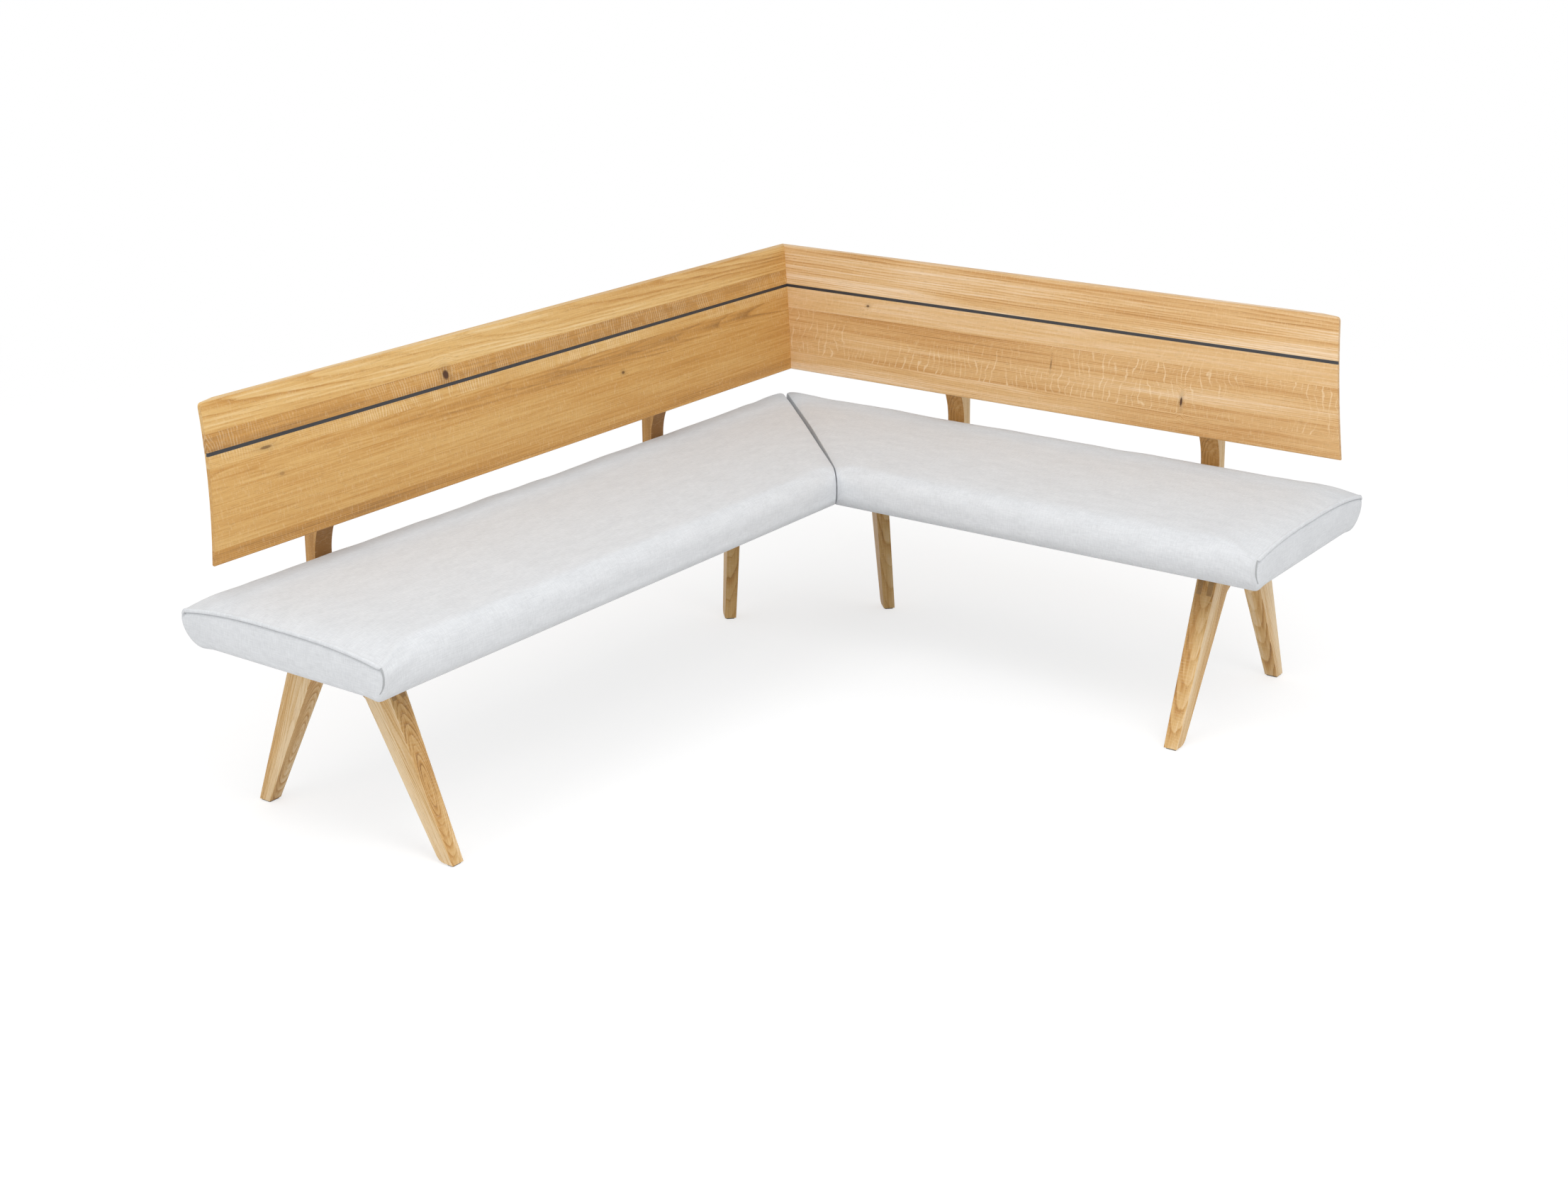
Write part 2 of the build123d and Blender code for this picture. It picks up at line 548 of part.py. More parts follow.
# Uprights with the screws into the panels and the bolts into the rear rails
panel_screws, upright_bolts, upright_washers, rail_inserts = [], [], [], []
panel_screw_heights = (PANEL_BOTTOM + PANEL_SCREW_RISE, UPRIGHT_TOP - PANEL_SCREW_RISE)
rail_middle = (BOARD_TOP + RAIL_TOP) / 2
bolt_heights = (rail_middle - BOLT_PITCH / 2, rail_middle + BOLT_PITCH / 2)
counterbore = COUNTERBORE_DEPTH - BACK_SETBACK
bolt_reach = RAIL_REAR + BOLT_GRIP - counterbore
insert_radius = BOLT_RADIUS + BORE_PLAY + INSERT_WALL
for wing, end in WING_ENDS.items():
    for place, run in (("inner", UPRIGHT_INNER), ("outer", end - UPRIGHT_OUTER_INSET)):
        upright = upright_blank(run)
        for height in panel_screw_heights:
            seat = (run, counterbore, height)
            length = panel_front(height) - PANEL_THICKNESS + SCREW_GRIP - counterbore
            upright -= screw_hole(seat, FORWARD, length)
            upright -= head_hole(seat, FORWARD, COUNTERBORE_DEPTH, COUNTERBORE_PLAY)
            panels[wing] -= screw_hole(seat, FORWARD, length)
            panel_screws.append(in_place(wing, screw(seat, FORWARD, length)))
        for height in bolt_heights:
            seat = (run, counterbore, height)
            head_seat = (run, counterbore - WASHER_THICKNESS, height)
            insert_seat = (run, RAIL_REAR, height)
            bore = rod(seat, FORWARD, BOLT_RADIUS + BORE_PLAY, bolt_reach + BORE_PLAY)
            upright -= bore
            upright -= rod(seat, BACKWARD, WASHER_RADIUS + COUNTERBORE_PLAY, COUNTERBORE_DEPTH)
            pads[wing] -= rod(seat, FORWARD, BOLT_RADIUS + PAD_CLEARANCE, bolt_reach)
            rear_rails[wing] -= rod(insert_seat, FORWARD, insert_radius + BORE_PLAY, BOLT_GRIP + BORE_PLAY)
            insert = rod(insert_seat, FORWARD, insert_radius, BOLT_GRIP) - bore
            bolt = rod(head_seat, BACKWARD, BOLT_HEAD_RADIUS, BOLT_HEAD_HEIGHT)
            bolt += rod(head_seat, FORWARD, BOLT_RADIUS, bolt_reach + WASHER_THICKNESS)
            washer = rod(seat, BACKWARD, WASHER_RADIUS, WASHER_THICKNESS)
            washer -= rod(seat, BACKWARD, BOLT_RADIUS + BORE_PLAY, WASHER_THICKNESS)
            upright_bolts.append(in_place(wing, bolt))
            upright_washers.append(in_place(wing, washer))
            rail_inserts.append(in_place(wing, insert))
        parts[f"{wing}_{place}_upright"] = in_place(wing, upright)
parts["panel_screws"] = panel_screws
parts["upright_bolts"] = upright_bolts
parts["upright_washers"] = upright_washers
parts["rail_inserts"] = rail_inserts

# Panels, pads and rear rails with all their bores, and the tongue in the panels' mitre
parts["mitre_tongue"] = mitre_tongue(0)
for wing in WING_ENDS:
    parts[f"{wing}_backrest_panel"] = in_place(wing, panels[wing]) - mitre_tongue(BORE_PLAY)
    parts[f"{wing}_seat_pad"] = in_place(wing, pads[wing])
    parts[f"{wing}_rear_rail"] = in_place(wing, rear_rails[wing])

# End trestles with their plates, screws and glides
frame_screws, seat_screws = [], []
seat_screw_length = PLATE_THICKNESS + CLOTH_THICKNESS + SCREW_GRIP
for wing, end in WING_ENDS.items():
    middle = end - TRESTLE_INSET
    wedge = tapered(middle, LEG_FOOT_THICKNESS, middle, LEG_TOP_THICKNESS)
    tenons = trestle_tenons(middle)
    solids = [extrude(Plane.YZ * profile, end, dir=(1, 0, 0)) for profile in trestle_profiles()]
    frame = round_sides((solids[0] + solids[1] + solids[2]).clean() & wedge, (1, 0, 0))
    front_leg = frame & solids[0]
    rear_leg = frame & solids[1]
    crossbar = (frame & solids[2]) + (front_leg & tenons) + (rear_leg & tenons)
    ends = (REAR_LEG_TOP - PLATE_OVERHANG, FRONT_LEG_TOP + PLATE_OVERHANG)
    half = PLATE_WIDTH / 2
    plate = block((middle - half, ends[0], FRAME_TOP), (middle + half, ends[1], UNDERSIDE))
    bar_rear = rear_leg_edges()[1][1]
    bar_front = front_leg_edges()[0][1]
    for depth in ((3 * bar_rear + bar_front) / 4, (bar_rear + 3 * bar_front) / 4):
        seat = (middle, depth, UNDERSIDE - SCREW_HEAD_HEIGHT)
        plate -= screw_hole(seat, DOWN, FRAME_SCREW_LENGTH)
        plate -= head_hole(seat, DOWN, PLATE_THICKNESS, BORE_PLAY)
        crossbar -= screw_hole(seat, DOWN, FRAME_SCREW_LENGTH)
        frame_screws.append(in_place(wing, screw(seat, DOWN, FRAME_SCREW_LENGTH)))
    for depth in (ends[0] + SCREW_EDGE, ends[1] - SCREW_EDGE):
        seat = (middle, depth, FRAME_TOP)
        hole = screw_hole(seat, UP, seat_screw_length)
        plate -= hole
        cloths[wing] -= hole
        boards[wing] -= hole
        seat_screws.append(in_place(wing, screw(seat, UP, seat_screw_length)))
    parts[f"{wing}_trestle_front_leg"] = in_place(wing, front_leg - tenons)
    parts[f"{wing}_trestle_rear_leg"] = in_place(wing, rear_leg - tenons)
    parts[f"{wing}_trestle_crossbar"] = in_place(wing, crossbar)
    parts[f"{wing}_trestle_plate"] = in_place(wing, plate)
    parts[f"{wing}_front_glide"] = in_place(wing, foot_glide(front_leg))
    parts[f"{wing}_rear_glide"] = in_place(wing, foot_glide(rear_leg))
    boards[wing] = in_place(wing, boards[wing])
    cloths[wing] = in_place(wing, cloths[wing])

# Corner support: two blade legs, a tenoned crossbar, its plate, screws and glides
right_leg = corner_leg_blank()
left_leg = mirror(right_leg, about=Plane.YZ)
bar_middle = CORNER_LEG_LEAN + CORNER_LEG_TOP_DEPTH / 2 - CORNER_LEG_FRONT
bar_bottom = FRAME_TOP - CORNER_BAR_HEIGHT
bar_half = CORNER_BAR_WIDTH / 2
reach = CORNER_LEG_FOOT_SPREAD + CORNER_LEG_FOOT_WIDTH
crossbar = block((-reach, bar_middle - bar_half, bar_bottom), (reach, bar_middle + bar_half, FRAME_TOP))
crossbar = (crossbar - right_leg - left_leg).solids().sort_by(SortBy.VOLUME)[-1]
for side in (-1, 1):
    y = bar_middle + side * TENON_PITCH / 2
    half = TENON_THICKNESS / 2
    tenon = block((-reach, y - half, bar_bottom), (reach, y + half, FRAME_TOP))
    crossbar = crossbar + (right_leg & tenon) + (left_leg & tenon)
    right_leg -= tenon
    left_leg -= tenon
half_length = CORNER_LEG_TOP_SPREAD + CORNER_LEG_TOP_WIDTH / 2 + PLATE_OVERHANG
half_width = PLATE_WIDTH / 2
plate = block(
    (-half_length, bar_middle - half_width, FRAME_TOP), (half_length, bar_middle + half_width, UNDERSIDE)
)
for side, wing in ((-1, "left"), (1, "right")):
    seat = (side * CORNER_LEG_TOP_SPREAD / 2, bar_middle, UNDERSIDE - SCREW_HEAD_HEIGHT)
    plate -= screw_hole(seat, DOWN, FRAME_SCREW_LENGTH)
    plate -= head_hole(seat, DOWN, PLATE_THICKNESS, BORE_PLAY)
    crossbar -= screw_hole(seat, DOWN, FRAME_SCREW_LENGTH)
    frame_screws.append(across_corner(screw(seat, DOWN, FRAME_SCREW_LENGTH)))
    seat = (side * (half_length - SCREW_EDGE), bar_middle, FRAME_TOP)
    hole = screw_hole(seat, UP, seat_screw_length)
    plate -= hole
    boards[wing] -= across_corner(hole)
    cloths[wing] -= across_corner(hole)
    seat_screws.append(across_corner(screw(seat, UP, seat_screw_length)))
parts["corner_left_leg"] = across_corner(left_leg)
parts["corner_right_leg"] = across_corner(right_leg)
parts["corner_crossbar"] = across_corner(crossbar)
parts["corner_plate"] = across_corner(plate)
parts["corner_left_glide"] = across_corner(foot_glide(left_leg))
parts["corner_right_glide"] = across_corner(foot_glide(right_leg))
parts["plate_to_frame_screws"] = frame_screws
parts["plate_to_seat_screws"] = seat_screws

# Plate under the mitre that joins the two seat boards, with its screws
middle = JOINING_PLATE_SETBACK - SEAT_FRONT * math.sqrt(2)
half_length, half_width = JOINING_PLATE_LENGTH / 2, JOINING_PLATE_WIDTH / 2
plate = block((-half_length, middle - half_width, FRAME_TOP), (half_length, middle + half_width, UNDERSIDE))
joining_screws = []
for side, wing in ((-1, "left"), (1, "right")):
    for y in (middle - half_width + SCREW_EDGE, middle + half_width - SCREW_EDGE):
        seat = (side * (half_length - SCREW_EDGE), y, FRAME_TOP)
        hole = screw_hole(seat, UP, seat_screw_length)
        plate -= hole
        boards[wing] -= across_corner(hole)
        cloths[wing] -= across_corner(hole)
        joining_screws.append(across_corner(screw(seat, UP, seat_screw_length)))
parts["mitre_joining_plate"] = across_corner(plate)
parts["joining_plate_screws"] = joining_screws
for wing in WING_ENDS:
    parts[f"{wing}_seat_board"] = boards[wing]
    parts[f"{wing}_underside_cloth"] = cloths[wing]

# One file for each piece, with the origin at the bottom centre of the bench
os.makedirs("parts", exist_ok=True)
for name, shape in parts.items():
    pieces = shape if isinstance(shape, list) else [shape]
    solids = [TO_CENTRE * solid for piece in pieces for solid in piece.solids()]
    export_step(solids[0] if len(solids) == 1 else Compound(children=solids), f"parts/{name}.step")
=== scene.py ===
# Corner bench: oak trestles, upholstered mitred seats and curved oak backrests, dressed for rendering.
import math
from collections import namedtuple

import bpy
import bmesh
from mathutils import Euler, Matrix, Vector, noise


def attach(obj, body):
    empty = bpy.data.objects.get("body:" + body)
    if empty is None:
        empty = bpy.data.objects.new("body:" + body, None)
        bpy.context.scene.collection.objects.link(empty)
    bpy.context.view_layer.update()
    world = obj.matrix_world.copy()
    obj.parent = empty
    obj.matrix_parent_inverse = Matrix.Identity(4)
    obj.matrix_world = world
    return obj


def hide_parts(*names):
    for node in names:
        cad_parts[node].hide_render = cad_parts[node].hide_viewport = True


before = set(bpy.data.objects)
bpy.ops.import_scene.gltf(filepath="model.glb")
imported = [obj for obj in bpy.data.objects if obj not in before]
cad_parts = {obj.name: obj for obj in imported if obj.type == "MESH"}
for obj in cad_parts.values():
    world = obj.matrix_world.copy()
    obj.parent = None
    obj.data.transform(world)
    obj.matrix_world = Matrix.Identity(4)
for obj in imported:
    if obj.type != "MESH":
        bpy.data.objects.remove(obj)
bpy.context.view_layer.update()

# End trestles
# Two A-shaped frames carry the ends of the wings. Each has a raked front leg and a raked rear leg of solid
# oak, sawn to a taper, rounded on the edges and oiled. The grain runs along each leg.


def add_node(tree, kind, inputs=None, **settings):
    """A shader node with its settings made and its sockets linked or filled."""
    made = tree.nodes.new("ShaderNode" + kind)
    for key, value in settings.items():
        setattr(made, key, value)
    for socket, value in (inputs or {}).items():
        if isinstance(value, bpy.types.NodeSocket):
            tree.links.new(value, made.inputs[socket])
        else:
            made.inputs[socket].default_value = value
    return made


def maths(tree, operation, *values):
    """The result of a maths node."""
    return add_node(tree, "Math", dict(enumerate(values)), operation=operation).outputs[0]


def vectors(tree, operation, *values):
    """The result of a vector maths node."""
    made = add_node(tree, "VectorMath", dict(enumerate(values)), operation=operation)
    return made.outputs["Value" if operation == "LENGTH" else "Vector"]


def grainy(tree, place, stretch, detail=2.0, roughness=0.5):
    """Noise drawn out along the axes of a place: a low stretch makes a long streak."""
    drawn = vectors(tree, "MULTIPLY", place, stretch)
    sockets = {"Vector": drawn, "Scale": 1.0, "Detail": detail, "Roughness": roughness}
    return add_node(tree, "TexNoise", sockets)


def between(tree, value, low, high, to_low=0.0, to_high=1.0, soft=True):
    """Value turned from one span to another and held at its ends."""
    made = add_node(
        tree,
        "MapRange",
        {"Value": value, "From Min": low, "From Max": high, "To Min": to_low, "To Max": to_high},
        interpolation_type="SMOOTHSTEP" if soft else "LINEAR",
    )
    return made.outputs["Result"]


def tinted(tree, amount, first, second):
    """The first colour turned towards the second by an amount."""
    made = add_node(tree, "Mix", {0: amount, 6: first, 7: second}, data_type="RGBA")
    return made.outputs[2]


def steps(tree, value, stops, interpolation="CONSTANT"):
    """A colour ramp with the given stops, each a position and a colour."""
    made = add_node(tree, "ValToRGB", {"Fac": value})
    made.color_ramp.interpolation = interpolation
    elements = made.color_ramp.elements
    while len(elements) < len(stops):
        elements.new(1.0)
    for element, (position, colour) in zip(elements, stops):
        element.position = position
        element.color = (*colour, 1.0)
    return made.outputs["Color"]


def bare(name, roughness=0.5, metallic=0.0):
    """A new material with its node tree and its shader."""
    material = bpy.data.materials.new(name)
    material.use_nodes = True
    shader = material.node_tree.nodes["Principled BSDF"]
    shader.inputs["Roughness"].default_value = roughness
    shader.inputs["Metallic"].default_value = metallic
    return material, material.node_tree, shader


def raised(tree, shader, height, strength, distance):
    """Bumps a shader's surface by a height."""
    bump = add_node(tree, "Bump", {"Height": height, "Strength": strength, "Distance": distance})
    tree.links.new(bump.outputs["Normal"], shader.inputs["Normal"])


Stave = namedtuple("Stave", "edge behind aside rake tone rays lines")
Knot = namedtuple("Knot", "along across half_long half_across darkness")
OAK_TONES = [
    (0.00, (0.830, 0.635, 0.380)),
    (0.35, (0.690, 0.438, 0.174)),
    (0.70, (0.540, 0.278, 0.078)),
    (1.00, (0.330, 0.165, 0.052)),
]
OAK_PORE = (0.250, 0.130, 0.050, 1.0)
OAK_RAY = (0.850, 0.680, 0.440, 1.0)
OAK_END = (0.280, 0.150, 0.062, 1.0)
OAK_KNOT = (0.075, 0.030, 0.013, 1.0)
RING_GAP = 0.0036
RAY_CORE = 0.0006
RAY_EDGE = 0.0020
STAVE_APART = 17.0


def oak(
    name,
    centre,
    grain,
    face,
    staves,
    knots=(),
    span=(-1.0, 1.0),
    painted_light_slope=0.0,
    painted_side_light=0.0,
    ray_gap=0.007,
    cool=1.0,
    end_dark=0.60,
):
    """Oiled oak for a piece of one or more glued staves.

    A stave holds its lower edge, the pith's place behind the face and across it, the rake of the grain, its
    tone from pale to dark, and the strength of its rays and of its ring lines. A knot holds its place, its
    half sizes along and across the grain and its darkness. Span is the range of the staves' edges. The light
    slope turns the tone paler or darker along the grain, as painted light and shade, and the side light turns
    the sides square to the face paler or darker, as painted light. Ray_gap is the distance between rays, cool
    the weight of the blue and end_dark how far end grain darkens.
    """
    material, tree, shader = bare(name)
    grain = Vector(grain).normalized()
    face = Vector(face).normalized()
    turned = Matrix((grain, face, grain.cross(face))).transposed().to_euler()
    place = add_node(
        tree,
        "Mapping",
        {"Vector": add_node(tree, "TexCoord").outputs["Object"], "Location": centre, "Rotation": turned},
        vector_type="TEXTURE",
    ).outputs["Vector"]
    parts = add_node(tree, "SeparateXYZ", {"Vector": place})
    along = parts.outputs["X"]
    height = between(tree, parts.outputs["Z"], span[0], span[1], soft=False)

    # What differs from stave to stave. Each takes its noise from another place, as from another board.
    edges = [(s.edge - span[0]) / (span[1] - span[0]) for s in staves]
    pith = [(e, (s.behind + 0.5, s.aside / 2 + 0.5, s.rake + 0.5)) for e, s in zip(edges, staves)]
    looks = [(e, (s.tone, s.rays, s.lines)) for e, s in zip(edges, staves)]
    pith = add_node(tree, "SeparateColor", {"Color": steps(tree, height, pith)})
    looks = add_node(tree, "SeparateColor", {"Color": steps(tree, height, looks)})
    behind = maths(tree, "SUBTRACT", pith.outputs[0], 0.5)
    aside = maths(tree, "MULTIPLY_ADD", pith.outputs[1], 2.0, -1.0)
    rake = maths(tree, "SUBTRACT", pith.outputs[2], 0.5)
    apart = maths(tree, "MULTIPLY", pith.outputs[1], STAVE_APART)
    apart = add_node(tree, "CombineXYZ", {"X": apart, "Y": apart}).outputs["Vector"]
    board = vectors(tree, "ADD", place, apart)

    # Growth rings about the pith, which wanders along the board
    sway = grainy(tree, board, (0.55, 6.0, 6.0)).outputs["Color"]
    sway = vectors(tree, "MULTIPLY_ADD", sway, (0, 0.020, 0.020), (0, -0.010, -0.010))
    ripple = grainy(tree, board, (6.0, 60.0, 60.0)).outputs["Color"]
    ripple = vectors(tree, "MULTIPLY_ADD", ripple, (0, 0.0030, 0.0030), (0, -0.0015, -0.0015))
    behind = maths(tree, "MULTIPLY_ADD", rake, along, behind)
    heart = add_node(tree, "CombineXYZ", {"Y": behind, "Z": aside}).outputs["Vector"]
    radial = vectors(tree, "SUBTRACT", vectors(tree, "MULTIPLY", place, (0, 1, 1)), heart)
    radial = vectors(tree, "ADD", vectors(tree, "ADD", radial, sway), ripple)
    radius = vectors(tree, "LENGTH", radial)
    knot_dark = None
    for knot in knots:
        off = vectors(tree, "SUBTRACT", place, (knot.along, 0, knot.across))
        off = vectors(tree, "ADD", off, ripple)
        off = vectors(tree, "MULTIPLY", off, (1 / knot.half_long, 0, 1 / knot.half_across))
        reach = vectors(tree, "LENGTH", off)
        radius = maths(tree, "ADD", radius, between(tree, reach, 0.6, 5.0, 0.012, 0.0))
        dark = between(tree, reach, 0.55, 1.25, knot.darkness, 0.0)
        halo = between(tree, reach, 0.9, 3.0, 0.22 * knot.darkness, 0.0)
        dark = maths(tree, "MAXIMUM", dark, halo)
        knot_dark = dark if knot_dark is None else maths(tree, "MAXIMUM", knot_dark, dark)
    years = maths(tree, "DIVIDE", radius, RING_GAP)
    early = steps(
        tree,
        maths(tree, "FRACT", years),
        [(0.0, (1, 1, 1)), (0.22, (0.60,) * 3), (0.55, (0.12,) * 3), (0.90, (0.0,) * 3), (1.0, (0.9,) * 3)],
        "LINEAR",
    )
    year = add_node(tree, "TexWhiteNoise", {"W": maths(tree, "FLOOR", years)}, noise_dimensions="1D")
    patchy = grainy(tree, board, (3.0, 30.0, 30.0)).outputs[0]
    line = maths(tree, "MULTIPLY", early, maths(tree, "MULTIPLY_ADD", year.outputs["Value"], 0.75, 0.25))
    line = maths(tree, "MULTIPLY", line, between(tree, patchy, 0.28, 0.68, 0.25, 1.0))
    line = maths(tree, "MULTIPLY", line, looks.outputs[2])
    pores = grainy(tree, board, (60.0, 1300.0, 1300.0), 1.0).outputs[0]
    pores = between(tree, pores, 0.55, 0.68)
    pores = maths(tree, "MULTIPLY", pores, maths(tree, "MULTIPLY_ADD", early, 0.75, 0.25))

    # Rays show as pale wavy strokes across the grain, in drifts
    wander = grainy(tree, board, (8.0, 20.0, 7.0)).outputs[0]
    jitter = grainy(tree, board, (50.0, 30.0, 40.0)).outputs[0]
    phase = maths(tree, "MULTIPLY_ADD", along, 1 / ray_gap, maths(tree, "MULTIPLY", wander, 6.0))
    phase = maths(tree, "FRACT", maths(tree, "MULTIPLY_ADD", jitter, 1.1, phase))
    stroke = maths(tree, "ABSOLUTE", maths(tree, "SUBTRACT", phase, 0.5))
    stroke = between(tree, stroke, RAY_CORE / ray_gap, RAY_EDGE / ray_gap, 1.0, 0.0)
    broken = grainy(tree, board, (45.0, 25.0, 30.0)).outputs[0]
    stroke = maths(tree, "MULTIPLY", stroke, between(tree, broken, 0.36, 0.62))
    drift = between(tree, grainy(tree, board, (3.0, 20.0, 9.0), 1.0).outputs[0], 0.30, 0.58)
    rays = maths(tree, "MULTIPLY", maths(tree, "MULTIPLY", stroke, drift), looks.outputs[1])
    ticks = between(tree, grainy(tree, board, (420.0, 200.0, 75.0), 1.0).outputs[0], 0.56, 0.72)

    # Colour: broad streaks, fine fibre, ring lines, pores, rays and knots, with painted light and shade along
    # the grain and on the sides
    streak = grainy(tree, board, (0.8, 24.0, 24.0), 4.0, 0.62).outputs[0]
    streak = maths(tree, "MULTIPLY_ADD", streak, 1.6, -0.80)
    streak = maths(tree, "MULTIPLY", streak, maths(tree, "MULTIPLY_ADD", looks.outputs[2], 0.85, 0.15))
    fibre = grainy(tree, board, (5.0, 300.0, 300.0), 3.0, 0.6).outputs[0]
    tone = maths(tree, "MULTIPLY_ADD", fibre, 0.7, -0.35)
    tone = maths(tree, "ADD", tone, streak)
    tone = maths(tree, "ADD", tone, looks.outputs[0])
    # Painted light and shade: the tone grows paler or darker along the grain by a slope
    tone = maths(tree, "MULTIPLY_ADD", along, -painted_light_slope, tone)
    tone = maths(tree, "MULTIPLY_ADD", line, 0.60, tone)
    normal = add_node(tree, "NewGeometry").outputs["Normal"]
    # Painted light: the faces square to both grain and face are made paler or darker, as if lit differently
    painted_side_mask = add_node(tree, "VectorMath", {0: normal, 1: grain.cross(face)}, operation="DOT_PRODUCT")
    painted_side_mask = between(tree, maths(tree, "ABSOLUTE", painted_side_mask.outputs["Value"]), 0.60, 0.80)
    tone = maths(tree, "MULTIPLY_ADD", painted_side_mask, painted_side_light, tone)
    tones = [(stop, (red, green, blue * cool)) for stop, (red, green, blue) in OAK_TONES]
    colour = steps(tree, tone, tones, "LINEAR")
    colour = tinted(tree, maths(tree, "MULTIPLY", pores, 0.40), colour, OAK_PORE)
    colour = tinted(tree, maths(tree, "MULTIPLY", ticks, 0.16), colour, OAK_RAY)
    colour = tinted(tree, maths(tree, "MULTIPLY", rays, 0.50), colour, OAK_RAY)
    if knot_dark is not None:
        colour = tinted(tree, knot_dark, colour, OAK_KNOT)

    # End grain drinks more oil and is darker
    facing = add_node(tree, "VectorMath", {0: normal, 1: grain}, operation="DOT_PRODUCT").outputs["Value"]
    ends = between(tree, maths(tree, "ABSOLUTE", facing), 0.70, 0.86)
    colour = tinted(tree, maths(tree, "MULTIPLY", ends, end_dark), colour, OAK_END)
    tree.links.new(colour, shader.inputs["Base Color"])

    rough = maths(tree, "MULTIPLY_ADD", pores, 0.18, 0.45)
    tree.links.new(maths(tree, "MULTIPLY_ADD", rays, -0.08, rough), shader.inputs["Roughness"])
    shader.inputs["Specular IOR Level"].default_value = 0.3
    relief = maths(tree, "MULTIPLY_ADD", pores, -0.8, maths(tree, "MULTIPLY", early, -0.3))
    raised(tree, shader, relief, 0.25, 0.0003)
    return material


def finish(nodes, material):
    """Gives CAD nodes their finish."""
    for name in nodes:
        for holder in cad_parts[name].material_slots:
            holder.material = material


TRESTLE_HEIGHT = 0.398
TRESTLE_INSET = 0.188
FRONT_FOOT = 0.4725
FRONT_HEAD = 0.2695
REAR_FOOT = -0.037
REAR_HEAD = 0.140
BACK_LINE = (-0.740, 0.940)
WING_END = {"left": 1.940, "right": 1.540}
LEG_TONES = {
    "left_front": 0.26,
    "left_rear": 0.32,
    "right_front": 0.42,
    "right_rear": 0.20,
}


def in_room(wing, run, depth, z):
    """A place given along a wing, out from its back and up, in the bench's own frame."""
    if wing == "left":
        return Vector((BACK_LINE[0] + depth, BACK_LINE[1] - run, z))
    return Vector((BACK_LINE[0] + run, BACK_LINE[1] - depth, z))


for wing in ("left", "right"):
    run = WING_END[wing] - TRESTLE_INSET
    for leg, foot, head, way in (("front", FRONT_FOOT, FRONT_HEAD, 1), ("rear", REAR_FOOT, REAR_HEAD, -1)):
        low = in_room(wing, run, foot, 0.0)
        high = in_room(wing, run, head, TRESTLE_HEIGHT)
        grain = (high - low).normalized()
        side = in_room(wing, 1, 0, 0) - in_room(wing, 0, 0, 0)
        face = side.cross(grain)
        timber = oak(
            f"oak_{wing}_{leg}_leg",
            low,
            grain,
            face,
            [Stave(-1.0, -0.042, 0.006 * way, 0.12, LEG_TONES[f"{wing}_{leg}"], 0.25, 1.25)],
            # Painted light: the leg's sides facing along the wing are made paler than its front and back
            painted_side_light=-0.30,
            cool=1.04,
        )
        finish([f"{wing}_trestle_{leg}_leg"], timber)

# Trestle crossbars
# A short oak rail joins the two legs under the seat. Its twin tenons pass right through the legs and are
# planed flush, so that their dark end grain shows on the faces.
CROSSBAR_STAVE = Stave(-1.0, -0.05, 0.03, 0.03, 0.42, 0.1, 0.6)
CROSSBAR_DEPTH = 0.2
CROSSBAR_HEIGHT = 0.35
for wing in ("left", "right"):
    run = WING_END[wing] - TRESTLE_INSET
    grain = in_room(wing, 0, 1, 0) - in_room(wing, 0, 0, 0)
    timber = oak(
        f"oak_{wing}_crossbar",
        in_room(wing, run, CROSSBAR_DEPTH, CROSSBAR_HEIGHT),
        grain,
        (0, 0, 1),
        [CROSSBAR_STAVE],
    )
    finish([f"{wing}_trestle_crossbar"], timber)

# Corner support
# Two tapered oak legs stand under the mitre, turned 45 degrees to the wings, with an oak bar between their
# heads. They are glued up with hidden joints.
DIAGONAL = math.sqrt(0.5)
CORNER_FOOT = (0.32, 0.200)
CORNER_HEAD = (0.30, 0.177)
CORNER_BAR = (-0.53, 0.73, 0.36)


def on_diagonal(out, aside, z):
    """A place out from the corner along its diagonal and to one side of it."""
    x = (out + aside) * DIAGONAL + BACK_LINE[0]
    y = (aside - out) * DIAGONAL + BACK_LINE[1]
    return Vector((x, y, z))


for leg, sign in (("left", -1), ("right", 1)):
    foot = on_diagonal(CORNER_FOOT[0], sign * CORNER_FOOT[1], 0.0)
    head = on_diagonal(CORNER_HEAD[0], sign * CORNER_HEAD[1], TRESTLE_HEIGHT)
    grain = (head - foot).normalized()
    timber = oak(
        f"oak_corner_{leg}_leg",
        foot,
        grain,
        Vector((DIAGONAL, DIAGONAL, 0)).cross(grain),
        [Stave(-1.0, -0.050, 0.012 * sign, 0.07, 0.40, 0.1, 0.9)],
        # Painted light: the leg's sides are made a little paler
        painted_side_light=-0.05,
    )
    finish([f"corner_{leg}_leg"], timber)
timber = oak(
    "oak_corner_crossbar",
    CORNER_BAR,
    (DIAGONAL, DIAGONAL, 0),
    (0, 0, 1),
    [CROSSBAR_STAVE],
)
finish(["corner_crossbar"], timber)

# Felt glides
# A pad of pressed grey wool felt is glued under each foot and trimmed a little inside its outline.


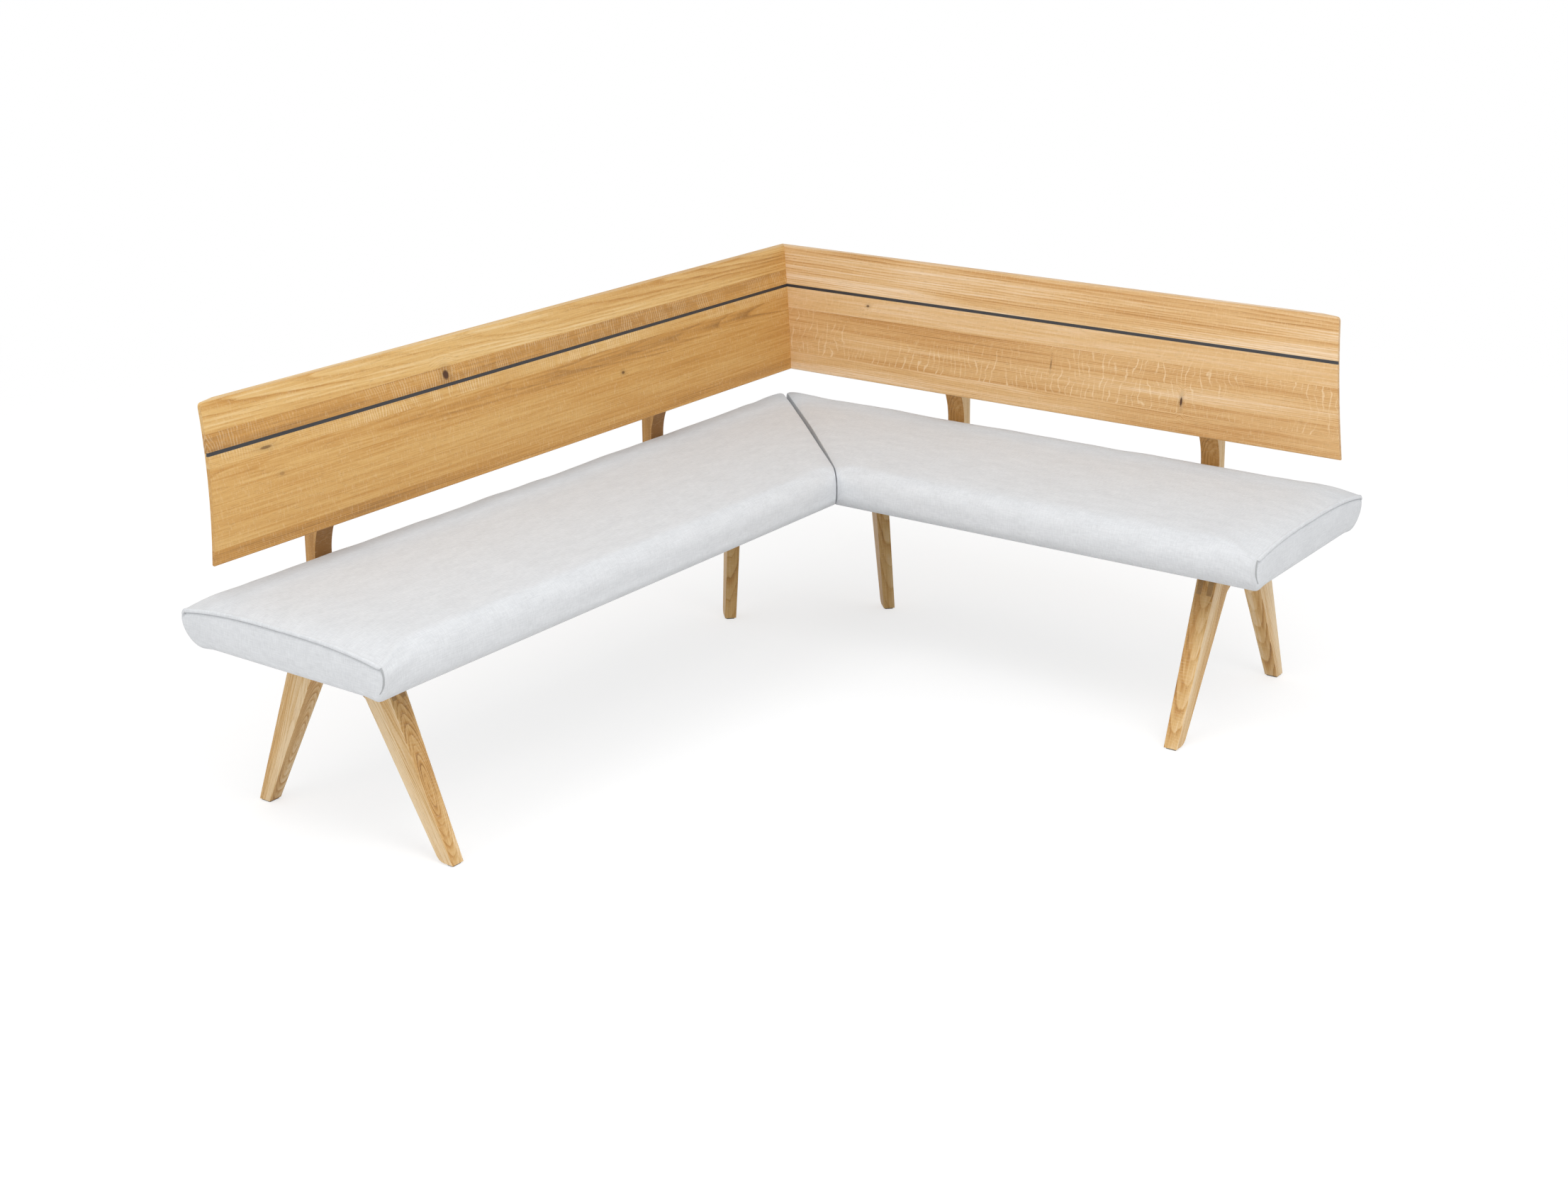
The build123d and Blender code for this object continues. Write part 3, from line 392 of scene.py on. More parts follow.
def mottled(name, stretch, octaves, low, high, roughness=0.5, metallic=0.0, rough_span=None, relief=None):
    """A material whose colour runs from low to high with one noise.

    Octaves are the noise's detail and roughness. The roughness follows the noise as well if it has a span,
    and so does the surface if its relief, a strength and a distance, is given.
    """
    material, tree, shader = bare(name, roughness, metallic)
    place = add_node(tree, "TexCoord").outputs["Object"]
    grit = grainy(tree, place, stretch, *octaves).outputs[0]
    colour = tinted(tree, grit, (*low, 1.0), (*high, 1.0))
    tree.links.new(colour, shader.inputs["Base Color"])
    if rough_span:
        tree.links.new(between(tree, grit, 0.3, 0.7, *rough_span), shader.inputs["Roughness"])
    if relief:
        raised(tree, shader, grit, *relief)
    return material


felt = mottled(
    "wool_felt",
    (1400.0, 1400.0, 900.0),
    (3.0, 0.7),
    (0.10, 0.098, 0.095),
    (0.26, 0.25, 0.24),
    roughness=0.97,
    relief=(0.6, 0.0006),
)
feet = ["left_front", "left_rear", "right_front", "right_rear", "corner_left", "corner_right"]
finish([f"{foot}_glide" for foot in feet], felt)

# Mounting plates
# Cut from 4 mm steel and powder coated black, they lie between the oak frames and the seats, with one more
# across the mitre of the seat boards and a bent one behind the backrests' mitre.
coat = mottled(
    "black_powder_coat",
    (700.0, 700.0, 700.0),
    (2.0, 0.5),
    (0.017, 0.017, 0.018),
    (0.030, 0.030, 0.031),
    rough_span=(0.42, 0.60),
    relief=(0.3, 0.0003),
)
plates = [
    "left_trestle_plate",
    "right_trestle_plate",
    "corner_plate",
    "mitre_joining_plate",
    "backrest_mitre_plate",
]
finish(plates, coat)

# Screws, bolts and washers
# Turned steel with a thin bright zinc coat. They hold the plates to the frames and the seats, the panels to
# the uprights and the uprights to the seats' rear rails.
zinc = mottled(
    "bright_zinc",
    (420.0, 420.0, 420.0),
    (3.0, 0.6),
    (0.52, 0.53, 0.55),
    (0.72, 0.72, 0.72),
    metallic=1.0,
    rough_span=(0.26, 0.45),
)
fasteners = [
    "mitre_plate_screws",
    "panel_screws",
    "upright_bolts",
    "upright_washers",
    "plate_to_frame_screws",
    "plate_to_seat_screws",
    "joining_plate_screws",
]
finish(fasteners, zinc)

# Threaded inserts
# Turned brass bushes screwed into the rear rails, which take the bolts of the uprights.
brass = mottled(
    "turned_brass",
    (150.0, 150.0, 2500.0),
    (1.0, 0.5),
    (0.62, 0.45, 0.18),
    (0.76, 0.58, 0.27),
    metallic=1.0,
    rough_span=(0.22, 0.40),
)
finish(["rail_inserts"], brass)

# Seat boards and rails
# Birch plywood boards with a beech rail glued along the front and the rear. The upholstery covers all of
# them, and a hardwood tongue of the same raw finish lines up the backrests' mitre.
raw_wood = mottled(
    "raw_birch",
    (25.0, 25.0, 320.0),
    (3.0, 0.6),
    (0.72, 0.56, 0.37),
    (0.55, 0.39, 0.23),
    roughness=0.62,
    relief=(0.2, 0.0003),
)
for wing in ("left", "right"):
    finish([f"{wing}_seat_board", f"{wing}_rear_rail", f"{wing}_front_rail"], raw_wood)
finish(["mitre_tongue"], raw_wood)

# Underside cloth
# A thin black non-woven cloth, stapled under each seat to close the upholstery off.
lining = mottled(
    "black_lining",
    (900.0, 900.0, 900.0),
    (4.0, 0.7),
    (0.018, 0.018, 0.019),
    (0.050, 0.050, 0.052),
    roughness=0.95,
    relief=(0.5, 0.0004),
)
finish(["left_underside_cloth", "right_underside_cloth"], lining)

# Seat pads
# Foam on the boards, covered with a light grey woven fabric that is pulled taut over the crown and stapled
# under the seat. The wings meet in a mitre with a narrow V gap, and their free ends are sewn-in panels.
CROWN = 0.491
PAD_FLOOR = 0.3943
FRONT_WAIST = 0.048
LOW_FRONT_TURN = 0.030
RIM_DROOP = 0.004
END_SINK = 0.006
TOP_STEPS = 32
TURN_STEPS = 8
HALF = TOP_STEPS + 2 * TURN_STEPS
RING = 2 * HALF
# Each pair is a size along the wing and the same size at its free end
PAD_FRONT = (0.510, 0.513)
PAD_REAR = (-0.029, -0.035)
DOME = (0.007, 0.020)
DOME_POWER = (2.0, 2.8)
UNDER_TURN = (0.040, 0.050)
FRONT_TURN = (0.034, 0.010)
REAR_TURN = (0.024, 0.009)


def quarter(start, corner, end, count):
    """Points of a quarter ellipse from start to end inside a corner, without its last point."""
    points = []
    for i in range(count):
        angle = math.pi / 2 * i / count
        to_end = 1 - math.cos(angle)
        to_start = 1 - math.sin(angle)
        trios = zip(start, corner, end)
        points.append(tuple(c + (e - c) * to_end + (s - c) * to_start for s, c, e in trios))
    return points


def towards_end(pair, fade):
    """A size between that along the wing and that at its free end."""
    return pair[0] + (pair[1] - pair[0]) * fade


def seat_slice(fade, slack):
    """The seat's outline across a wing, from the rear waist over the top to the front and underneath."""
    front = towards_end(PAD_FRONT, fade)
    rear = towards_end(PAD_REAR, fade)
    dome = towards_end(DOME, fade)
    under = towards_end(UNDER_TURN, fade)
    shoulder = CROWN - END_SINK * fade**2 - slack - dome
    low = PAD_FLOOR - RIM_DROOP
    waist_rear = (rear, PAD_FLOOR + under)
    waist_front = (front, PAD_FLOOR + FRONT_WAIST)
    high_rear = (rear + towards_end(REAR_TURN, fade), shoulder)
    high_front = (front - towards_end(FRONT_TURN, fade), shoulder)
    low_front = (front - LOW_FRONT_TURN, low)
    low_rear = (rear + under, low)
    points = quarter(waist_rear, (rear, shoulder), high_rear, TURN_STEPS)
    for i in range(TOP_STEPS):
        points.append((high_rear[0] + (high_front[0] - high_rear[0]) * i / TOP_STEPS, shoulder))
    points += quarter(high_front, (front, shoulder), waist_front, TURN_STEPS)
    domed = []
    for depth, z in points:
        across = abs(2 * (depth - rear) / (front - rear) - 1)
        domed.append((depth, z + dome * (1 - across ** towards_end(DOME_POWER, fade))))
    points = domed + quarter(waist_front, (front, low), low_front, TURN_STEPS)
    # Only a twentieth of the underside hangs lower at either edge, as a rim around the lining
    for i in range(TOP_STEPS):
        t = i / TOP_STEPS
        rim = max(0.0, abs(2 * t - 1) * 10 - 9)
        points.append((low_front[0] + (low_rear[0] - low_front[0]) * t, PAD_FLOOR - RIM_DROOP * rim))
    points += quarter(low_rear, (rear, low), waist_rear, TURN_STEPS)
    return points


DRAW_HEIGHT = 0.040


def above_floor(z, height):
    """0 at the pad's floor, rising to 1 at a height above it."""
    return min(1.0, max(0.0, (z - PAD_FLOOR) / height))


def drawn_in(points, amount):
    """The same outline moved inwards, most at the top."""
    count = len(points)
    moved = []
    for i, (depth, z) in enumerate(points):
        before = points[i - 1]
        after = points[(i + 1) % count]
        tangent = Vector((after[0] - before[0], after[1] - before[1])).normalized()
        weight = above_floor(z, DRAW_HEIGHT)
        moved.append((depth + tangent.y * amount * weight, z - tangent.x * amount * weight))
    return moved


MITRE_STEPS = [0.0, 0.0012, 0.003, 0.006, 0.010, 0.016, 0.026, 0.040]
MITRE_ROLL = 0.013
MITRE_DROP = 0.0055
MITRE_LEAN = 0.005
MITRE_GAP = 0.0015
MITRE_OPENING = 0.0095


def mitre_run(wing, depth):
    """Where a wing's pad begins: near the diagonal, with a gap that opens to the rear and leans left."""
    t = (PAD_FRONT[1] - depth) / (PAD_FRONT[1] - PAD_REAR[0])
    t = min(1.0, max(0.0, t))
    lean = MITRE_LEAN * t if wing == "left" else -MITRE_LEAN * t
    return depth + lean + (MITRE_GAP + MITRE_OPENING * (1 - (1 - t) ** 4)) / math.sqrt(2)


MITRE_MIDDLE = 0.29
COLUMN_GAP = 0.014
END_FADE = 0.110
END_STEPS = [0.0, 0.12, 0.24, 0.36, 0.47, 0.57, 0.66, 0.74, 0.81, 0.87, 0.92, 0.96, 0.985, 1.0]
END_POWER = 1.7
END_ROLL = 0.014
CREASE_STEP = 0.92
CREASE_DRAW = 0.0008


def seat_columns(wing):
    """For each column of the pad: fade, inward draw, the run at a given depth and the lift underneath."""
    plain_end = WING_END[wing] - END_FADE

    def from_mitre(step):
        return lambda depth: mitre_run(wing, depth) + step

    def on_wing(t):
        return lambda depth: (mitre_run(wing, depth) + MITRE_STEPS[-1]) * (1 - t) + plain_end * t

    def near_end(t):
        return lambda depth: plain_end + END_FADE * t

    columns = []
    for step in MITRE_STEPS:
        left = max(0.0, 1 - step / MITRE_ROLL)
        draw = MITRE_DROP * (1 - math.sqrt(1 - left**2))
        columns.append((0.0, draw, from_mitre(step), 0.0))
    count = int((plain_end - MITRE_MIDDLE) / COLUMN_GAP)
    for i in range(1, count):
        columns.append((0.0, 0.0, on_wing(i / count), 0.0))
    for t in END_STEPS:
        inset = max(0.0, END_ROLL - END_FADE * (1 - t))
        lift = END_ROLL - math.sqrt(END_ROLL**2 - inset**2)
        draw = CREASE_DRAW if t == CREASE_STEP else 0.0
        columns.append((t**END_POWER, draw, near_end(t), lift))
    return columns


def rolled_under(outline, lift):
    """The outline with its lower half raised, for the rounding under an end."""
    waist = PAD_FLOOR + FRONT_WAIST
    return [(depth, z + lift * max(0.0, waist - z) / FRONT_WAIST) for depth, z in outline]


UNEVEN_RISE = 0.0022
UNEVEN_HEIGHT = 0.060


def uneven(wing, run, depth, z):
    """The small rise and fall that the foam and the hand-stretched cover leave in the top."""
    seed = 3.0 if wing == "left" else 9.0
    swell = noise.noise(Vector((run * 5.0, depth * 4.0, seed)))
    swell += 0.5 * noise.noise(Vector((run * 13.0, depth * 9.0, seed + 5.0)))
    return UNEVEN_RISE * swell * above_floor(z, UNEVEN_HEIGHT)


CAP_DROPS = [0.0035, 0.0066, 0.0080, 0.0098, 0.0160]
CAP_DRAWS = [0.0015, 0.0036, 0.0036, 0.0006, -0.0008]
CAP_SHARES = [0.25, 0.50, 0.75]
CAP_HEIGHT = 0.050
FRONT_DRAW = 0.0028
SEAM_ROWS = len(CAP_DROPS)


def add_cap(mesh, loop, inward):
    """Closes an end of the pad with a ladder of faces from the top half of its outline to the bottom half.

    Inward is the way into the pad, for the draw of the seam under the top edge and along the front edge.
    """
    rows = [[loop[0]]]
    seam = []
    for i in range(1, HALF):
        top = loop[i].co
        bottom = loop[RING - i].co
        height = (top - bottom).length
        scale = min(1.0, height / CAP_HEIGHT)
        row = [loop[i]]
        for drop, draw in zip(CAP_DROPS, CAP_DRAWS):
            share = drop * scale / height
            row.append(mesh.verts.new(top.lerp(bottom, share) + inward * draw * scale))
        seam += row[1:SEAM_ROWS]
        done = CAP_DROPS[-1] * scale / height
        for share in CAP_SHARES:
            row.append(mesh.verts.new(top.lerp(bottom, done + (1 - done) * share)))
        if i >= HALF - 2:
            for vertex in row[SEAM_ROWS:]:
                vertex.co += inward * FRONT_DRAW
            seam += row[SEAM_ROWS:]
        rows.append(row + [loop[RING - i]])
    rows.append([loop[HALF]])
    faces = []
    for here, there in zip(rows, rows[1:]):
        for k in range(len(rows[1]) - 1):
            round_face = ((here, k), (there, k), (there, k + 1), (here, k + 1))
            corners = [row[min(j, len(row) - 1)] for row, j in round_face]
            faces.append(mesh.faces.new(list(dict.fromkeys(corners))))
    return faces, seam


PLUMP = 0.0020
SEAM_CREASE = 0.75
CAP_WEAVE = 0.9


def piece_from(name, mesh):
    """A mesh put into the scene as a piece."""
    data = bpy.data.meshes.new(name)
    mesh.to_mesh(data)
    mesh.free()
    piece = bpy.data.objects.new(name, data)
    bpy.context.collection.objects.link(piece)
    return piece


def seat_pad(wing):
    """The pad's skin before it is filled, with weave coordinates, held edges and creased seams."""
    mesh = bmesh.new()
    weave = mesh.loops.layers.uv.new("weave")
    crease = mesh.edges.layers.float.new("crease_edge")
    columns = []
    places = []
    for fade, draw, run_at, lift in seat_columns(wing):
        outline = drawn_in(seat_slice(fade, PLUMP * (1 - fade)), draw)
        outline = rolled_under(outline, lift)
        outline = [(d, z + uneven(wing, run_at(d), d, z) * (1 - fade)) for d, z in outline]
        reach = [0.0]
        for i in range(RING):
            step = Vector(outline[(i + 1) % RING]) - Vector(outline[i])
            reach.append(reach[-1] + step.length)
        columns.append([mesh.verts.new(in_room(wing, run_at(d), d, z)) for d, z in outline])
        places.append([(run_at(outline[i % RING][0]), reach[i]) for i in range(RING + 1)])
    for c in range(len(columns) - 1):
        for i in range(RING):
            j = (i + 1) % RING
            face = mesh.faces.new((columns[c][i], columns[c + 1][i], columns[c + 1][j], columns[c][j]))
            corners = [places[c][i], places[c + 1][i], places[c + 1][i + 1], places[c][i + 1]]
            for loop, corner in zip(face.loops, corners):
                loop[weave].uv = corner
    held = []
    into = in_room(wing, 0, 0, 0) - in_room(wing, 1, 0, 0)
    for loop, inward in ((columns[0], into * 0), (columns[-1], into)):
        faces, seam = add_cap(mesh, loop, inward)
        held += seam
        for face in faces:
            for corner in face.loops:
                at = corner.vert.co
                corner[weave].uv = ((at.x - at.y) * CAP_WEAVE, at.z)
        for i in range(HALF + TURN_STEPS):
            edge = mesh.edges.get((loop[i], loop[(i + 1) % RING]))
            edge[crease] = SEAM_CREASE
    mesh.verts.index_update()
    # The cover is stapled underneath and sewn at its ends, so it stays there when it is filled
    held += [v for column in columns for v in column[HALF + 3 : RING - 2]]
    held = [v.index for v in held + columns[0] + columns[-1]]
    bmesh.ops.recalc_face_normals(mesh, faces=mesh.faces)
    pad = piece_from(f"{wing}_seat_cushion", mesh)
    pad.vertex_groups.new(name="held").add(held, 1.0, "REPLACE")
    return pad


FILL_FRAMES = 20
FILL_GIVE = 0.0040


def fill(pad):
    """Blows the cover up over its foam and holds back any point that goes further than the cover gives."""
    start = [v.co.copy() for v in pad.data.vertices]
    cloth = pad.modifiers.new("filling", "CLOTH")
    cloth.settings.quality = 5
    cloth.settings.mass = 0.3
    cloth.settings.tension_stiffness = 30
    cloth.settings.compression_stiffness = 30
    cloth.settings.shear_stiffness = 12
    cloth.settings.bending_stiffness = 0.8
    cloth.settings.use_pressure = True
    cloth.settings.uniform_pressure_force = 4
    cloth.settings.effector_weights.gravity = 0
    cloth.settings.vertex_group_mass = "held"
    cloth.collision_settings.use_collision = False
    cloth.point_cache.frame_start = 1
    cloth.point_cache.frame_end = FILL_FRAMES
    for step in range(1, FILL_FRAMES + 1):
        bpy.context.scene.frame_set(step)
    bpy.context.view_layer.objects.active = pad
    bpy.ops.object.modifier_apply(modifier=cloth.name)
    bpy.context.scene.frame_set(1)
    for vertex, before in zip(pad.data.vertices, start):
        moved = vertex.co - before
        if moved.length > 1e-6:
            reach = FILL_GIVE * math.tanh(moved.length / FILL_GIVE)
            vertex.co = before + moved.normalized() * reach


def smoothed(piece, levels, cloth):
    """Subdivides a soft piece, shades it smooth and gives it its cloth."""
    bpy.ops.object.select_all(action="DESELECT")
    piece.select_set(True)
    bpy.context.view_layer.objects.active = piece
    smooth = piece.modifiers.new("smooth", "SUBSURF")
    smooth.levels = levels
    smooth.render_levels = levels
    bpy.ops.object.modifier_apply(modifier=smooth.name)
    bpy.ops.object.shade_smooth()
    piece.data.materials.append(cloth)


COVER_PITCH = 0.0013
cover, tree, shader = bare("light_grey_cover", 0.93)
thread = add_node(tree, "UVMap", uv_map="weave").outputs["UV"]
pitch = 2 * math.pi / (20 * COVER_PITCH)
warp = add_node(tree, "TexWave", {"Vector": thread, "Scale": pitch}, bands_direction="X").outputs[1]
weft = add_node(tree, "TexWave", {"Vector": thread, "Scale": pitch}, bands_direction="Y").outputs[1]
weave = maths(tree, "MULTIPLY", warp, weft)
slub_run = grainy(tree, thread, (45.0, 420.0, 1.0), 3.0, 0.6).outputs[0]
slub_across = grainy(tree, thread, (420.0, 60.0, 1.0), 3.0, 0.6).outputs[0]
cloud = grainy(tree, thread, (14.0, 34.0, 1.0), 4.0, 0.62).outputs[0]
shade = maths(tree, "ADD", slub_run, slub_across)
shade = maths(tree, "MULTIPLY_ADD", shade, 0.7, maths(tree, "MULTIPLY", cloud, 0.5))
shade = maths(tree, "MULTIPLY_ADD", weave, -0.25, shade)
shade = between(tree, shade, 0.45, 1.25, soft=False)
cover_colour = tinted(tree, shade, (0.575, 0.588, 0.606, 1.0), (0.790, 0.806, 0.826, 1.0))
tree.links.new(cover_colour, shader.inputs["Base Color"])
pile = maths(tree, "MULTIPLY_ADD", slub_run, 0.8, maths(tree, "MULTIPLY", weave, 0.6))
pile = maths(tree, "MULTIPLY_ADD", slub_across, 0.5, pile)
raised(tree, shader, pile, 0.35, 0.0006)
shader.inputs["Sheen Weight"].default_value = 0.12
shader.inputs["Sheen Roughness"].default_value = 0.5
shader.inputs["Specular IOR Level"].default_value = 0.2

for wing in ("left", "right"):
    pad = seat_pad(wing)
    fill(pad)
    smoothed(pad, 1, cover)
    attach(pad, "root")
    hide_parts(f"{wing}_seat_pad")

# Seat end seams
# Where the top cover meets the end panel, the seam allowance is folded down over the panel and felled,
# which leaves a narrow raised lip. A plain seam closes the panel's front edge; its strip is dark grey, a
# painted shade for its fold.
LIP_ACROSS = [
    (-0.0062, -0.0012),
    (-0.0045, 0.0008),
    (-0.0012, 0.0014),
    (0.0014, 0.0004),
    (0.0025, -0.0022),
    (0.0024, -0.0055),
    (0.0016, -0.0068),
    (0.0003, -0.0060),
    (-0.0020, -0.0030),
]
SEAM_ACROSS = [(run * 0.42, out * 0.36) for run, out in LIP_ACROSS]
LIP_SPAN = (3, HALF - 6)
SEAM_SPAN = (HALF - 7, HALF + TURN_STEPS - 3)
LIP_EASE = 2
SEAM_EASE = 3
STRIP_WEAVE = (0.012, 0.002)
STRIP_TIP = 0.55


def seam_strip(name, wing, span, across, ease, cloth):
    """A strip of folded cover along a span of the pad's end outline, tapered and closed at both tips."""
    first, last = span
    outline = rolled_under(seat_slice(1.0, 0.0), END_ROLL)
    mesh = bmesh.new()
    weave = mesh.loops.layers.uv.new("weave")
    rings = []
    for i in range(first, last + 1):
        before = Vector(outline[i - 1])
        after = Vector(outline[(i + 1) % RING])
        tangent = (after - before).normalized()
        outward = Vector((-tangent.y, tangent.x))
        near_end = min(i - first, last - i)
        size = min(1.0, STRIP_TIP + (1 - STRIP_TIP) * near_end / ease)
        ring = []
        for run, out in across:
            point = Vector(outline[i]) + outward * out * size
            ring.append(mesh.verts.new(in_room(wing, WING_END[wing] + run, point.x, point.y)))
        rings.append(ring)
    count = len(across)
    for r in range(len(rings) - 1):
        for k in range(count):
            n = (k + 1) % count
            face = mesh.faces.new((rings[r][k], rings[r + 1][k], rings[r + 1][n], rings[r][n]))
            for loop, corner in zip(face.loops, ((r, k), (r + 1, k), (r + 1, k + 1), (r, k + 1))):
                loop[weave].uv = (corner[0] * STRIP_WEAVE[0], corner[1] * STRIP_WEAVE[1])
    mesh.faces.new(rings[0])
    mesh.faces.new(rings[-1])
    bmesh.ops.recalc_face_normals(mesh, faces=mesh.faces)
    strip = piece_from(name, mesh)
    smoothed(strip, 2, cloth)
    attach(strip, "root")


# Painted shade: a dark grey for the front seam's strip, where there is only the fold's shadow
painted_seam_shade = mottled(
    "painted_seam_shade",
    (900.0, 900.0, 900.0),
    (2.0, 0.5),
    (0.33, 0.34, 0.35),
    (0.48, 0.49, 0.50),
    roughness=0.95,
)
for wing in ("left", "right"):
    seam_strip(f"{wing}_seat_end_lip", wing, LIP_SPAN, LIP_ACROSS, LIP_EASE, cover)
    seam_strip(f"{wing}_seat_front_seam", wing, SEAM_SPAN, SEAM_ACROSS, SEAM_EASE, painted_seam_shade)

# Uprights
# Four oak posts, straight behind the seat and flaring forward to the panels. They are bolted to the seats'
# rear rails and screwed to the panels through counterbored holes in their backs.
UPRIGHT_INNER = 0.492
UPRIGHT_OUTER = 0.365
UPRIGHT_DEPTH = -0.045
UPRIGHT_MIDDLE = 0.6
# Painted shade: the posts' oak is made darker, most on the left wing, for the shade under the panels
UPRIGHT_PAINTED_SHADE_TONE = {"left": 1.04, "right": 0.60}
for wing in ("left", "right"):
    for post, run in (("inner", UPRIGHT_INNER), ("outer", WING_END[wing] - UPRIGHT_OUTER)):
        out = in_room(wing, 0, 1, 0) - in_room(wing, 0, 0, 0)
        timber = oak(
            f"oak_{wing}_{post}_upright",
            in_room(wing, run, UPRIGHT_DEPTH, UPRIGHT_MIDDLE),
            (0, 0, 1),
            out,
            [Stave(-1.0, -0.060, 0.022, 0.03, UPRIGHT_PAINTED_SHADE_TONE[wing], 0.15, 0.8)],
            # Painted light: the post's sides are made paler than its front
            painted_side_light=-0.50,
        )
        finish([f"{wing}_{post}_upright"], timber)

# Backrest panels
# Curved slabs of solid oak, glued up from staves of differing cut, mitred at the corner and bevelled behind
# at the free ends. Rays show where a stave was sawn on the quarter.
PANEL_LOW = 0.540
PANEL_HIGH = 0.870
LEFT_STAVES = [
    Stave(0.540, -0.030, 0.420, 0.010, 0.70, 0.10, 0.60),
    Stave(0.588, 0.010, 0.860, 0.006, 0.58, 0.10, 0.15),
    Stave(0.697, -0.090, 0.740, 0.020, 0.61, 0.10, 0.55),
    Stave(0.740, 0.010, 0.560, 0.008, 0.42, 0.90, 0.40),
    Stave(0.767, 0.010, 0.540, 0.008, 0.72, 0.60, 0.45),
    Stave(0.803, -0.090, 0.905, 0.020, 0.34, 0.05, 0.90),
]
RIGHT_STAVES = [
    Stave(0.540, -0.080, 0.660, 0.020, 0.32, 0.10, 0.80),
    Stave(0.607, 0.010, 0.440, 0.006, 0.37, 1.00, 0.75),
    Stave(0.7135, 0.010, 0.920, 0.010, 0.30, 0.25, 0.30),
    Stave(0.767, -0.100, 0.980, 0.010, 0.24, 0.05, 1.0),
]
LEFT_KNOTS = [
    Knot(-0.297, 0.788, 0.010, 0.011, 1.0),
    Knot(0.253, 0.682, 0.006, 0.004, 0.8),
    Knot(-0.808, 0.751, 0.016, 0.0035, 0.7),
    Knot(-0.7827, 0.694, 0.007, 0.004, 0.35),
]
RIGHT_KNOTS = [
    Knot(-0.4775, 0.744, 0.005, 0.0035, 0.8),
    Knot(0.3915, 0.634, 0.0034, 0.012, 1.0),
    Knot(0.0506, 0.672, 0.0014, 0.012, 0.7),
]
panel_oak = oak(
    "oak_left_panel",
    (BACK_LINE[0], 0, 0),
    (0, 1, 0),
    (-1, 0, 0),
    LEFT_STAVES,
    LEFT_KNOTS,
    (PANEL_LOW, PANEL_HIGH),
    # Painted shade: the tone darkens along the panel towards the corner and pales towards the free end
    painted_light_slope=-0.04,
    cool=0.95,
    end_dark=0.15,
)
finish(["left_backrest_panel"], panel_oak)
panel_oak = oak(
    "oak_right_panel",
    (0, BACK_LINE[1], 0),
    (1, 0, 0),
    (0, 1, 0),
    RIGHT_STAVES,
    RIGHT_KNOTS,
    (PANEL_LOW, PANEL_HIGH),
    ray_gap=0.016,
    cool=1.15,
    end_dark=0.15,
)
finish(["right_backrest_panel"], panel_oak)

# Inlay strips
# Thin strips of smoked, almost black oak, glued into a groove along each panel and planed flush.
for wing, stretch in (("left", (350.0, 6.0, 350.0)), ("right", (6.0, 350.0, 350.0))):
    inlay = mottled(
        f"smoked_oak_{wing}",
        stretch,
        (3.0, 0.6),
        (0.010, 0.010, 0.012),
        (0.038, 0.038, 0.043),
        rough_span=(0.34, 0.50),
        relief=(0.2, 0.0002),
    )
    finish([f"{wing}_inlay_strip"], inlay)

# Floor, light and camera
# A white sweep under soft studio light: an even pale surround, two large soft boxes high in front and to
# the right, and two weak low ones for the seats' fronts and the legs. The camera has the photograph's view.
FLOOR_SIZE = 160.0
FLOOR_FADE = (2.2, 5.0)
SURROUND = 0.66
bpy.ops.object.select_all(action="DESELECT")
bpy.ops.mesh.primitive_plane_add(size=FLOOR_SIZE, location=(0, 0, 0))
floor = bpy.context.active_object
floor.name = "white_floor"


def seen_directly(tree):
    """1 where the camera, a reflection or a clear material looks at the surface, else 0."""
    path = add_node(tree, "LightPath")
    sight = maths(tree, "MAXIMUM", path.outputs["Is Camera Ray"], path.outputs["Is Glossy Ray"])
    return maths(tree, "MAXIMUM", sight, path.outputs["Is Transmission Ray"])


